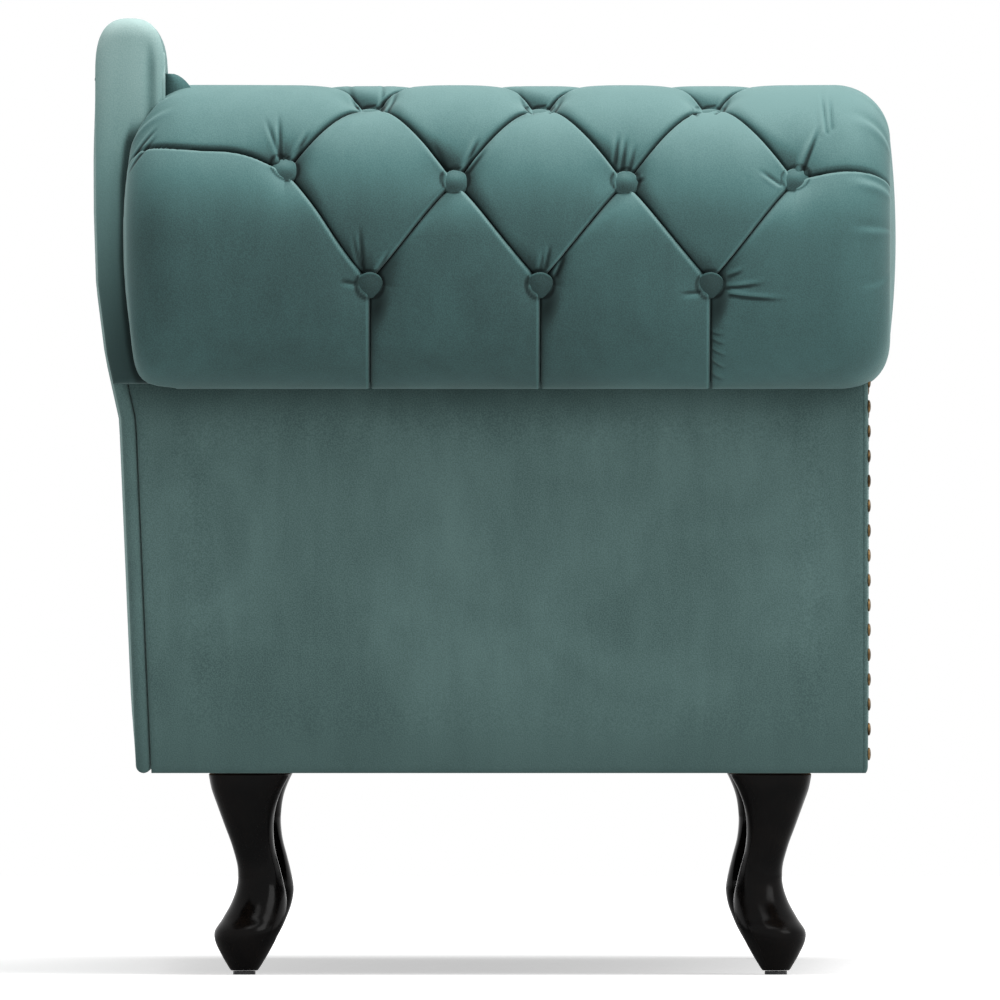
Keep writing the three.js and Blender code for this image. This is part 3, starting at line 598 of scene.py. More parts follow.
    def painted_shading(self, across: Array, along: Array) -> Array:
        """Painted shading of the tufts: painted shade in each slit, under each lap and in a ring round each
        button, and a painted highlight on each lapping edge.

        Args:
            across: Places across, in buttons.
            along: Places along, in buttons.

        Returns:
            Below 0 for painted shade, above 0 for painted highlight.
        """
        first, second, slope_a, slope_b = self._lines(across, along)
        slope = np.maximum(np.hypot(slope_a, slope_b), 1e-6)
        near, gap = self._buttons(first, second, across, along)
        total = self.ring_painted_shade * np.exp(-(((gap - self.ring_radius) / self.ring_width) ** 2))
        for order, phase in enumerate((first, second)):
            offset = (phase - np.round(phase)) / slope
            line = self.slit_painted_shade * np.exp(-(((offset + self.slit_shift) / self.slit_shade) ** 2))
            edge = np.exp(-(((offset - self.edge_place) / self.edge_width) ** 2))
            line = line + self.edge_painted_highlights[order] * edge
            under = np.exp(-((np.minimum(offset, 0) / (self.under_reach + self.under_spread * near)) ** 2))
            line = line - np.where(offset < 0, self.under_painted_shade + self.under_gain * near, 0.0) * under
            if order == 0:
                line = np.where(slope_a > 0, line, 0.0)
            elif np.any(slope_b == 0):
                line = np.where((slope_b > 0) | (slope_a == 0), line, 0.0)
            total = total + line
        return np.clip(total, -1.2, 1.0)


@dataclass(frozen=True)
class Crease:
    """One short fold in the cloth, from a place to a place in Y and Z, as the head end shows it."""

    y0: float
    z0: float
    y1: float
    z1: float
    depth: float = 0.0010
    width: float = 0.0015

    def mark(self, y: Array, z: Array) -> tuple[Array, Array]:
        """A valley beside a lower ridge, both bell curves across the fold, tapered at its ends.

        Args:
            y: Places in Y.
            z: Places in Z.

        Returns:
            How far the cloth sinks, and its painted shading: painted shade in the valley, a painted highlight
            on the ridge.
        """
        run = math.hypot(self.y1 - self.y0, self.z1 - self.z0)
        ey, ez = (self.y1 - self.y0) / run, (self.z1 - self.z0) / run
        along = (y - self.y0) * ey + (z - self.z0) * ez
        offset = (z - self.z0) * ey - (y - self.y0) * ez
        taper = smooth_step(-0.1 * run, 0.55 * run, along) * smooth_step(run + 0.003, run - 0.001, along)
        valley = np.exp(-((offset / self.width) ** 2))
        ridge = np.exp(-(((offset - 2.0 * self.width) / (1.1 * self.width)) ** 2))
        weight = taper * self.depth / 0.0010
        return self.depth * taper * (valley - 0.6 * ridge), weight * (0.45 * ridge - 0.6 * valley)


# Covered buttons


@dataclass
class ButtonSet:
    """Cloth-covered buttons: a low dome with a rounded rim, standing on the padding."""

    name: str
    places: Array
    normals: Array
    rim_share: float = 0.62
    # Painted shade on the buttons: darkest round the foot of the rim, lighter over the cap
    rim_painted_shades: tuple[float, ...] = (-1.0, -1.0, -0.9, -0.5, -0.2)
    cap_painted_shade: float = -0.20
    sides: int = 28
    sizes: CouchSizes = SIZES

    def build(self, material: Material) -> Piece:
        """Turns one dome a place: a rounded rim, then a cap that rises as a cosine.

        Args:
            material: The buttons' cloth.

        Returns:
            The buttons as one piece.
        """
        radius, height = self.sizes.button_radius, self.sizes.button_height
        rim = height * self.rim_share
        turn = np.linspace(-0.5, 0.5, 7) * math.pi
        edge = np.stack([radius - rim / 2 + rim / 2 * np.cos(turn), rim / 2 + rim / 2 * np.sin(turn)], 1)
        share = np.linspace(0, 1, 7)[1:-1]
        cap_radius = (radius - rim / 2) * (1 - share)
        cap = np.stack([cap_radius, rim + (height - rim) * np.sin(share * math.pi / 2)], 1)
        profile = np.concatenate([edge, cap])
        # Painted shade on each ring of the dome
        painted_shading = np.full(len(profile), self.cap_painted_shade)
        painted_shading[:len(self.rim_painted_shades)] = self.rim_painted_shades
        painted_shading = np.concatenate([np.repeat(painted_shading, self.sides), [self.rim_painted_shades[0], self.cap_painted_shade]])
        body = Body()
        for place, normal in zip(self.places, unit(self.normals)):
            rings = lathe_rings(profile, place, normal, self.sides)
            body.add_tube(rings, np.stack([place, place + height * normal]))
        return body.piece(self.name, material, Slot.VELVET, np.tile(painted_shading, len(self.places)))


# The arm


# Each row is one fold: its start and its end in Y and Z, its depth and, for the finest, its width
ROLL_CREASES = tuple(Crease(*row) for row in (
    (0.1737, 0.6899, 0.1724, 0.6585, 0.0013), (0.1848, 0.6875, 0.1726, 0.6593, 0.0012),
    (0.15, 0.677, 0.1618, 0.6585, 0.0013), (0.056, 0.669, 0.04, 0.6505, 0.0012),
    (0.0505, 0.67, 0.0372, 0.65, 0.0011), (0.0125, 0.673, 0.025, 0.65, 0.0014),
    (0.0075, 0.664, 0.0215, 0.648, 0.0011), (-0.0995, 0.6755, -0.0966, 0.656, 0.0012),
    (-0.106, 0.674, -0.1019, 0.6505, 0.0012), (-0.1135, 0.668, -0.1075, 0.649, 0.001),
    (-0.12, 0.642, -0.113, 0.64, 0.001), (-0.2612, 0.6805, -0.2461, 0.6467, 0.0019),
    (-0.254, 0.67, -0.244, 0.648, 0.0009), (-0.2622, 0.7075, -0.267, 0.676, 0.0012),
    (-0.269, 0.704, -0.271, 0.6785, 0.001), (-0.2125, 0.647, -0.229, 0.6375, 0.0013),
    (0.109, 0.603, 0.106, 0.568, 0.0014), (0.114, 0.596, 0.1085, 0.57, 0.0012),
    (0.0841, 0.583, 0.0946, 0.566, 0.0014), (0.125, 0.5598, 0.113, 0.5562, 0.0012),
    (-0.0447, 0.589, -0.0407, 0.569, 0.0013), (-0.0395, 0.585, -0.037, 0.569, 0.0011),
    (-0.0569, 0.581, -0.049, 0.562, 0.0016), (-0.024, 0.5545, -0.029, 0.559, 0.001),
    (-0.2175, 0.5585, -0.1861, 0.5525, 0.0016), (-0.2335, 0.5456, -0.1887, 0.5472, 0.0017),
    (-0.2, 0.568, -0.188, 0.562, 0.0012), (-0.1475, 0.55, -0.164, 0.549, 0.0012),
    (-0.185, 0.517, -0.1752, 0.516, 0.0006, 0.0012), (-0.1855, 0.5095, -0.1752, 0.5104, 0.0007, 0.0012),
    (-0.186, 0.5005, -0.1752, 0.5026, 0.0007, 0.0012), (-0.1855, 0.491, -0.1752, 0.4935, 0.0007, 0.0012),
    (-0.1845, 0.4835, -0.1752, 0.485, 0.0006, 0.0012), (-0.313, 0.604, -0.33, 0.601, 0.001),
    (-0.312, 0.654, -0.33, 0.649, 0.001), (-0.313, 0.542, -0.33, 0.558, 0.0011),
    (0.2775, 0.679, 0.296, 0.664, 0.0018), (0.278, 0.6855, 0.295, 0.674, 0.0015),
    (-0.055, 0.709, -0.044, 0.6955, 0.0014), (-0.019, 0.713, -0.03, 0.695, 0.0012),
    (0.119, 0.715, 0.105, 0.699, 0.0013), (0.09, 0.715, 0.091, 0.698, 0.0013),
    (0.078, 0.712, 0.087, 0.697, 0.0012), (-0.189, 0.71, -0.177, 0.694, 0.0015),
    (-0.157, 0.705, -0.162, 0.692, 0.0012),
))
# Counts across, and how far the upper row stands off its even place there, in rows
ROLL_LIFTS = (
    (-2.42, -2.06, -1.86, -1.66, -1.54, -1.45, -0.5, 0.5, 1.0, 1.5, 1.57, 1.765, 2.06, 2.24, 2.42),
    (0.12, 0.11, 0.07, 0.035, 0, -0.01, -0.03, -0.02, 0.0, 0.09, 0.128, 0.255, 0.270, 0.30, 0.47),
)

# Each row is one gather at an end: its angle round the roll, its width, its depth and its end (1 is the rear)
ROLL_GATHERS = (
    (0.42, 0.05, 0.0016, 0), (0.06, 0.045, 0.0014, 0), (-0.34, 0.05, 0.0016, 0), (0.95, 0.07, 0.0018, 0),
    (1.35, 0.06, 0.0015, 0), (2.0, 0.08, 0.0018, 0), (1.04, 0.05, 0.0012, 1), (1.25, 0.06, 0.0018, 1),
)


@dataclass
class HeadRoll:
    """The bolster that tops the arm: a tufted oval roll along Y with domed ends."""

    corner: float = 0.045
    front_crown: float = 0.0045
    rear_crown: float = 0.003
    rear_inset: float = 0.0215
    lower_button_drop: float = 0.039
    row_turn: float = 0.772
    top_pull: float = 0.0065
    lip_power: float = 2.6
    top_swell: float = 0.0024
    bow_top: float = 0.010
    bow_foot: float = 0.0065
    rear_clear: float = 0.050
    # Painted light: how much paler the front of the roll is painted
    front_painted_light: float = 0.34
    button_sag: float = 0.0018
    hem_angle: float = -1.36
    outer_angle: float = 1.75
    inner_angle: float = 3.25
    free_ends: float = 0.006
    step: float = 0.0014
    inner_step: float = 0.0026
    sizes: CouchSizes = SIZES

    def __post_init__(self) -> None:
        """Works out the rows of buttons round the roll."""
        self.half_width = self.sizes.roll_width / 2
        self.half_height = self.sizes.roll_height / 2
        self.first_angle = math.asin(-self.lower_button_drop / self.half_height)
        self.y_front = -self.sizes.depth / 2
        self.y_rear = self.sizes.depth / 2 - self.rear_inset
        row_step = self.row_turn * (self.half_width + self.half_height) / 2
        self.tufts = TuftField(columns=1.5, first_row=0, last_row=4, row_step=row_step)

    def fullness(self, angle: Array) -> Array:
        """How much the section swells past its ellipse: a squarer quarter under the outer face."""
        c, s = np.abs(np.cos(angle)), np.abs(np.sin(angle))
        full = (c ** self.lip_power + s ** self.lip_power) ** (-1 / self.lip_power)
        return np.where((np.sin(angle) < 0) & (np.cos(angle) > 0), full, 1.0)

    def section(self, angle: Array, shrink: Array) -> tuple[Array, Array]:
        """A place on the roll's section, shrunk towards its axis.

        Args:
            angle: The turn up from the outer side.
            shrink: How far inside the skin.

        Returns:
            X and Z.
        """
        full = self.fullness(angle)
        swell = self.top_swell * smooth_step(0.5, 1.0, np.sin(angle))
        x = self.sizes.x_roll - (self.half_width * full - shrink) * np.cos(angle)
        z = self.sizes.z_roll + (self.half_height * full + swell - shrink) * np.sin(angle)
        return x, z

    def _lift(self, across: Array, along: Array) -> Array:
        """How far the upper row and its pleats to the ends stand off their even places, in rows."""
        near = 1 - smooth_step(0.40, 1.0, np.abs(along - 1.1))
        spread = (-0.10, -0.06, -0.02, 0.02, 0.06, 0.10)
        return near * sum(np.interp(across + step, *ROLL_LIFTS) for step in spread) / len(spread)

    def _ends(self, y: Array, angle: Array, dome: Array) -> Array:
        """Small gathers where the cloth turns over the ends, as bumps of the angle round the roll."""
        rear = np.where(y > 0, 1.0, 0.0)
        gathers = np.zeros_like(y)
        for place, width, depth, side in ROLL_GATHERS:
            match = np.where(rear == side, 1.0, 0.0)
            offset = (angle - place) / width
            gathers = gathers + match * depth * offset * np.exp(0.5 - offset ** 2)
        return gathers * smooth_step(0.1, 0.5, dome) * (1 - smooth_step(0.95, 1.3, dome))

    def _creases(self, y: Array, angle: Array) -> tuple[Array, Array]:
        """The short folds of the outer face: how far they sink, and their painted shade and painted
        highlight.
        """
        _, z = self.section(angle, np.full_like(angle, 0.006))
        sink, painted_shading = np.zeros_like(y), np.zeros_like(y)
        for crease in ROLL_CREASES:
            depth, crease_painted_shading = crease.mark(y, z)
            sink, painted_shading = sink + depth, painted_shading + crease_painted_shading
        outer = smooth_step(1.75, 1.6, angle)
        return sink * outer, painted_shading * outer

    def _painted_pocket_shadows(self, across: Array, along: Array) -> Array:
        """A painted shadow below and to the front of each lower button, a bell curve in both directions."""
        below = (along * self.tufts.row_step + 0.0165) / 0.0125
        total = np.zeros_like(across)
        for column in (-1, 0, 1):
            beside = ((across - column) * self.sizes.tuft_pitch + 0.0070 + 0.004 * below) / 0.0062
            total = total + 0.80 * np.exp(-beside ** 2 - below ** 2) * smooth_step(0, 0.002, column - across)
        return total

    def grid(self) -> tuple[Array, Array, Array]:
        """The skin as rings round the roll from front to rear, its end points and its painted shading.

        The angles are fine from the hem over the outer face, coarser inside and coarsest in the
        mount. At each end the skin turns in along a superellipse, squarer at the lower rear corner.
        The short folds and the painted light towards the front die away before the domed ends.

        Returns:
            The rings, the two tips and the painted shading on the rings.
        """
        y_first = self.y_front + self.front_crown + self.corner
        y_last = self.y_rear - self.rear_crown - self.corner
        outer = np.arange(self.hem_angle, self.outer_angle, self.step / self.half_width)
        further = np.arange(outer[-1], self.inner_angle, self.inner_step / self.half_width)[1:]
        shown = np.concatenate([outer, further])
        hidden = np.linspace(shown[-1], shown[0] + 2 * math.pi, 14)[1:-1]
        angles = np.concatenate([shown, hidden])
        straight = np.linspace(y_first, y_last, round((y_last - y_first) / self.step) + 1)
        turn = np.linspace(0, math.pi / 2, 34)
        inner = np.linspace(0, 1, 12)[1:-1]
        dome = np.concatenate([-1 - inner[::-1], -turn[::-1][:-1] * 2 / math.pi, 0 * straight,
                               turn[1:] * 2 / math.pi, 1 + inner])
        y_base = np.concatenate([0 * inner + y_first, 0 * turn[1:] + y_first, straight,
                                 0 * turn[1:] + y_last, 0 * inner + y_last])
        dome, angle = np.meshgrid(dome, angles, indexing="ij")
        y = np.broadcast_to(y_base[:, None], dome.shape)
        across = (y + self.sizes.tuft_shift) / self.sizes.tuft_pitch
        along = (angle - self.first_angle) / self.row_turn
        on_side = (np.abs(dome) < 1e-9) & (along < 5) & (angle < shown[-1] - 0.02)
        inside = on_side & (y > y_first + self.free_ends) & (y < y_last - self.free_ends) & (along > -1.1)
        level = along - self._lift(across, along)
        moved_across, moved_along = self.tufts.crowded(across, level)
        along = np.where(inside, along + moved_along - level, along)
        across = np.where(inside, moved_across, across)
        y = np.where(inside, across * self.sizes.tuft_pitch - self.sizes.tuft_shift, y)
        angle = np.where(inside, self.first_angle + along * self.row_turn, angle)
        arc = np.clip(np.abs(dome), 0, 1) * math.pi / 2
        low = smooth_step(0.35, 0.85, -np.sin(angle)) * np.where(np.cos(angle) > 0, 1.0, 0.4)
        power = 2 / (2 + np.where(dome > 0, 3.2, 0.5) * low)
        over = self.corner * (1 - np.cos(arc) ** power)
        reach = self.corner * np.sin(arc) ** power
        across = across + np.sign(dome) * reach / self.sizes.tuft_pitch
        level = along - self._lift(across, along)
        off_cap = 1 - smooth_step(0.62, 1.0, np.abs(dome))
        folds, painted_fold_shading = self._creases(y + np.sign(dome) * reach, angle)
        folds, painted_fold_shading = folds * off_cap, painted_fold_shading * off_cap
        sink = self.tufts.sink(across, level) + folds
        deep = np.exp(-(((level - 2.03) / 0.15) ** 2)) * np.cos(math.pi * across) ** 12
        sink = sink + self.top_pull * deep * smooth_step(1.9, 1.4, np.abs(across))
        hem = smooth_step(-1.345, -1.22, along)
        side = (1 - smooth_step(4.7, 5.2, along)) * np.cos(arc) ** 0.6
        fade = smooth_step(-1.27, -0.72, along) * side
        beside = (across - np.round(across)) * self.sizes.tuft_pitch
        upright = np.exp(-((beside / self.tufts.slit_width) ** 2))
        slit = self.tufts.slit_depth * upright * np.maximum(hem * side - fade, 0) * (np.abs(across) < 1.5)
        gathers = self._ends(y, angle, np.abs(dome))
        # Painted shading: painted shade in slits, folds and under laps, painted highlights on lapping edges
        # and ridges, painted light towards the front and painted shadows below the lower buttons
        painted_shading = (self.tufts.painted_shading(across, level) * hem * side + painted_fold_shading) * smooth_step(3.3, 3.1, angle)
        upper = (0.55 + 0.45 * smooth_step(-0.8, -0.2, angle)) * off_cap
        painted_shading = painted_shading + self.front_painted_light * smooth_step(0.02, -0.26, y) * upper * smooth_step(1.9, 1.3, angle)
        painted_shading = painted_shading - self._painted_pocket_shadows(across, along)
        x, z = self.section(angle, over + sink * fade + slit + gathers)
        y = y + np.sign(dome) * reach
        cap = np.clip(np.abs(dome) - 1, 0, 1)
        x = self.sizes.x_roll + (x - self.sizes.x_roll) * (1 - cap)
        z = self.sizes.z_roll + (z - self.sizes.z_roll) * (1 - cap)
        crown = np.where(dome > 0, self.rear_crown, self.front_crown)
        y = y + np.sign(dome) * crown * (1 - (1 - cap) ** 2)
        rise = (z - self.sizes.z_roll - 0.008) / 0.106
        bow = np.where(rise > 0, self.bow_top, self.bow_foot) * rise ** 2
        y = y - bow * smooth_step(y_last - 0.05, y_last + 0.02, y)
        y = self._behind(x, y, z)
        rings = np.stack([x, y, z], -1)
        tips = np.array([[self.sizes.x_roll, self.y_front, self.sizes.z_roll],
                         [self.sizes.x_roll, self.y_rear, self.sizes.z_roll]])
        tips[1, 1] = self._behind(tips[1:, 0], tips[1:, 1], tips[1:, 2])[0]
        return rings, tips, painted_shading

    def _behind(self, x: Array, y: Array, z: Array) -> Array:
        """Keeps the part of the roll inside the couch in front of the back's padding."""
        share = smooth_step(self.sizes.x_panel - 0.010, self.sizes.x_panel - 0.002, x)
        limit = self.sizes.rear_y(z) - self.rear_clear
        return np.where(y > limit, y + share * (limit - y), y)

    def button_places(self) -> tuple[Array, Array]:
        """The floor and the normal of each button, row by row.

        Returns:
            The places and the directions out of the roll.
        """
        places, normals = [], []
        for row in range(5):
            for column in (-1.5, -0.5, 0.5, 1.5) if row % 2 else (-1, 0, 1):
                lift = float(self._lift(np.array(column), np.array(float(row))))
                angle = self.first_angle + (row + lift) * self.row_turn
                deep = self.tufts.full_depth + (self.top_pull if row == 2 else 0.0)
                x, z = self.section(np.array(angle), np.array(deep))
                normals.append([-math.cos(angle) / self.half_width, 0, math.sin(angle) / self.half_height])
                y = column * self.sizes.tuft_pitch - self.sizes.tuft_shift
                places.append([float(x), y, float(z) - self.button_sag * math.cos(angle) ** 2])
        places, normals = np.array(places), unit(np.array(normals))
        return places + 0.0022 * normals, normals

    def build(self, velvet: Material) -> list[Piece]:
        """Makes the roll and its buttons.

        Args:
            velvet: The cover's material.

        Returns:
            The two pieces.
        """
        body = Body()
        rings, tips, painted_shading = self.grid()
        body.add_tube(rings, tips)
        roll = body.piece("head_roll_padding", velvet, Slot.VELVET, painted_shading)
        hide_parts("head_roll")
        places, normals = self.button_places()
        buttons = ButtonSet("head_roll_buttons", places, normals).build(velvet)
        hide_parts(*(f"head_roll_button_{i}" for i in range(1, 8)))
        return [roll, buttons]


@dataclass
class InsideArm:
    """The pad inside the arm: upright pleats from the roll down to the seat."""

    depth: float = 0.034
    rim: float = 0.010
    step: float = 0.0024
    tuck: float = 0.012
    sizes: CouchSizes = SIZES

    def build(self, velvet: Material) -> Piece:
        """Makes the pad: the face leans as the frame does and sinks at each pleat.

        Args:
            velvet: The cover's material.

        Returns:
            The pad.
        """
        s = self.sizes
        tufts = TuftField(columns=1.5, first_row=0, last_row=4)
        y_end = s.y_rear_foot - s.crest_thickness - 0.004
        y_line = stations(s.y_front + s.band_thickness + s.gap, y_end, self.step, self.rim)
        z_line = stations(s.z_deck + s.gap, s.z_roll + self.tuck, 0.004, self.rim)
        y, z = np.meshgrid(y_line, z_line, indexing="ij")
        across = (y + s.tuft_shift) / s.tuft_pitch
        along = np.full_like(across, 5.0)
        moved, _ = tufts.crowded(across, along)
        inner = (y > y_line[8]) & (y < y_line[-9])
        across = np.where(inner, moved, across)
        y = np.where(inner, across * s.tuft_pitch - s.tuft_shift, y)
        edge = round_edge(np.minimum(y - y_line[0], y_line[-1] - y), self.rim)
        edge = edge * round_edge(z - z_line[0], self.rim) * round_edge(z_line[-1] - z, self.rim)
        face = s.inside_arm_x(z)
        gather = smooth_step(s.z_deck + 0.20, s.z_roll, z) * 0.004
        front = face - self.depth + edge * (self.depth - tufts.sink(across, along) - gather)
        back = np.stack([face - self.depth, y, z], -1)
        body = Body()
        body.add_shell(np.stack([front, y, z], -1), back)
        # Painted shade and highlight of the tufts
        pad = body.piece("inside_arm_padding", velvet, Slot.VELVET, tufts.painted_shading(across, along) * edge)
        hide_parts("inside_arm")
        return pad


# The back


@dataclass
class InsideBack:
    """The tufted pad inside the back, rounded over to the seam under the crest."""

    depth: float = 0.038
    rim_depth: float = 0.004
    over_seam: float = 0.006
    rounding: float = 0.080
    end_rounding: float = 0.020
    first_row_rise: float = 0.195
    button_room: float = 0.030
    side_room: float = 0.016
    ease: float = 0.045
    step: float = 0.0023
    x_start: float = -0.6805
    sizes: CouchSizes = SIZES

    def _lattice(self) -> tuple[list[tuple[float, float]], list[tuple[float, float]]]:
        """The lattice's places, as counts across and rows: those with room for a button, and the others."""
        s = self.sizes
        kept, left = [], []
        for row in range(4):
            z = s.z_deck + self.first_row_rise + row * s.tuft_row
            level = math.sqrt(max(0.0, 1 - ((z - s.z_roll) / (s.roll_height / 2)) ** 2))
            side = s.x_roll + s.roll_width / 2 * level
            if z < s.z_roll + 0.02:
                side = max(side, float(s.inside_arm_x(z)))
            for count in range(8):
                across = -(count + 0.5 * (row % 2))
                x = s.x_back_inner + across * s.tuft_pitch
                room = float(s.seam_z(np.array(x), s.crest_under)) - z
                free = room > self.button_room and x > side + self.side_room and count > 0
                (kept if free else left).append((across, float(row)))
        return kept, left

    def _back_y(self, z: Array) -> Array:
        """The Y of the frame behind the pad, its bends eased as a mean over the heights round each place."""
        s = self.sizes
        steps = np.linspace(-self.ease, self.ease, 13)
        return sum(s.rear_y(z + step) for step in steps) / len(steps) - s.crest_thickness - s.gap

    def _surface(self) -> tuple[Array, Array, Array, Array, TuftField]:
        """The pad's grid over X and Z with its rounding and its places among the buttons."""
        s = self.sizes
        tufts = TuftField(columns=40, first_row=0, last_row=40, without=tuple(self._lattice()[1]))
        x_line = stations(self.x_start, s.x_back_inner, self.step, 0.008)
        share = stations(0, 1, 0.006, 0.03)
        z_low = s.z_deck + s.gap
        x = np.broadcast_to(x_line[:, None], (len(x_line), len(share))).copy()
        z_top = s.seam_z(x, s.crest_under - self.over_seam)
        z = z_low + share[None] * (z_top - z_low)
        across = (x - s.x_back_inner) / s.tuft_pitch
        along = (z - s.z_deck - self.first_row_rise) / s.tuft_row
        inner = (x > x_line[8]) & (x < x_line[-9]) & (z > z_low + 0.012) & (z < z_top - 0.014)
        moved_across, moved_along = tufts.crowded(across, along)
        across, along = np.where(inner, moved_across, across), np.where(inner, moved_along, along)
        x = np.where(inner, across * s.tuft_pitch + s.x_back_inner, x)
        z = np.where(inner, along * s.tuft_row + s.z_deck + self.first_row_rise, z)
        return x, z, across, along, tufts

    def _depth(self, x: Array, z: Array) -> Array:
        """How full the pad is: a quarter circle below the seam, beside the end and above the seat."""
        s = self.sizes
        below = s.seam_z(x, s.crest_under - self.over_seam) - z
        edge = round_edge(below, self.rounding)
        edge = edge * round_edge(s.x_back_inner - x, self.end_rounding)
        return edge * round_edge(z - s.z_deck, 0.010)

    def button_places(self, tufts: TuftField) -> tuple[Array, Array]:
        """The floor and the normal of each button on the flat part of the pad.

        Args:
            tufts: The pad's lattice.

        Returns:
            The places and their normals.
        """
        s = self.sizes
        places, normals = [], []
        for across, row in self._lattice()[0]:
            x = s.x_back_inner + across * s.tuft_pitch
            z = s.z_deck + self.first_row_rise + row * s.tuft_row
            full = float(self._depth(np.array(x), np.array(z)))
            depth = self.rim_depth + full * (self.depth - self.rim_depth - tufts.full_depth)
            lean = float(self._back_y(z + 0.005) - self._back_y(z - 0.005)) / 0.01
            places.append([x, float(self._back_y(z)) - depth, z])
            normals.append([0, -1, lean])
        places, normals = np.array(places), unit(np.array(normals, float))
        return places + 0.0012 * normals, normals

    def build(self, velvet: Material) -> list[Piece]:
        """Makes the pad and its buttons.

        Args:
            velvet: The cover's material.

        Returns:
            The two pieces.
        """
        s = self.sizes
        x, z, across, along, tufts = self._surface()
        full = self._depth(x, z)
        depth = self.rim_depth + full * (self.depth - self.rim_depth - tufts.sink(across, along))
        front = np.stack([x, self._back_y(z) - depth, z], -1)
        back = np.stack([x, s.rear_y(z) - s.crest_thickness - s.gap, z], -1)
        front[[0, -1]], front[:, [0, -1]] = back[[0, -1]], back[:, [0, -1]]
        body = Body()
        body.add_shell(front, back)
        # Painted shade and highlight of the tufts
        pad = body.piece("inside_back_padding", velvet, Slot.VELVET, tufts.painted_shading(across, along) * full)
        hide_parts("inside_back")
        places, normals = self.button_places(tufts)
        buttons = ButtonSet("inside_back_buttons", places, normals).build(velvet)
        return [pad, buttons]


@dataclass
class CrestBorder:
    """The half-oval border along the crest and down its end, with the cords in its seams."""

    cord_radius: float = 0.0028
    step: float = 0.006
    sides: int = 26
    sizes: CouchSizes = SIZES

    def _line(self) -> tuple[Array, Array, Array]:
        """The crest line, the direction up from it and the border's middle in Y."""
        s = self.sizes
        points, up = s.crest_path(self.step)
        y = s.rear_y(points[:, 1] - up[:, 1] * s.crest_depth) - s.crest_thickness / 2
        return points, up, y

    def build(self, velvet: Material) -> list[Piece]:
        """Makes the border, a half oval carried along the crest, and one cord in each of its seams.

        Args:
            velvet: The cover's material.

        Returns:
            The border and the cords.
        """
        s = self.sizes
        points, up, y = self._line()
        turn = np.linspace(0, math.pi, self.sides + 1)
        drop = s.crest_depth * (1 - np.sin(turn) ** (2 / s.crest_rise_power))
        across = np.cos(turn)
        side = s.crest_thickness / 2 * np.sign(across) * np.abs(across) ** (2 / s.crest_side_power)
        xz = points[:, None] - up[:, None] * drop[None, :, None]
        rings = np.stack([xz[..., 0], y[:, None] + side[None], xz[..., 1]], -1)
        ripple = 0.0006 * np.sin(points[:, 0] * 41) * np.sin(points[:, 0] * 17 + 1)
        rings[..., 2] += ripple[:, None] * np.sin(turn)[None]
        body = Body()
        body.add_tube(rings)
        border = body.piece("crest_border_padding", velvet, Slot.VELVET)
        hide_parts("crest_border")
        seam = points - up * (s.crest_depth - self.cord_radius * 0.3)
        cords = Body()
        for sign in (-1, 1):
            offset = sign * (s.crest_thickness / 2 - self.cord_radius * (0.75 if sign < 0 else 0.85))
            path = np.stack([seam[:, 0], y + offset, seam[:, 1]], 1)
            cords.add_tube(cord_rings(path, TO_REAR, self.cord_radius))
        return [border, cords.piece("crest_seam_cords", velvet, Slot.VELVET)]


# The roll's rear outline beside the back's end, which the painted shadow there follows: heights, and the Y at
# each
ROLL_REAR_CONTOUR = ((0.4756, 0.487, 0.508, 0.536, 0.579, 0.6418, 0.6697, 0.684),
                     (0.2865, 0.2914, 0.2952, 0.2982, 0.3006, 0.3000, 0.2968, 0.2923))


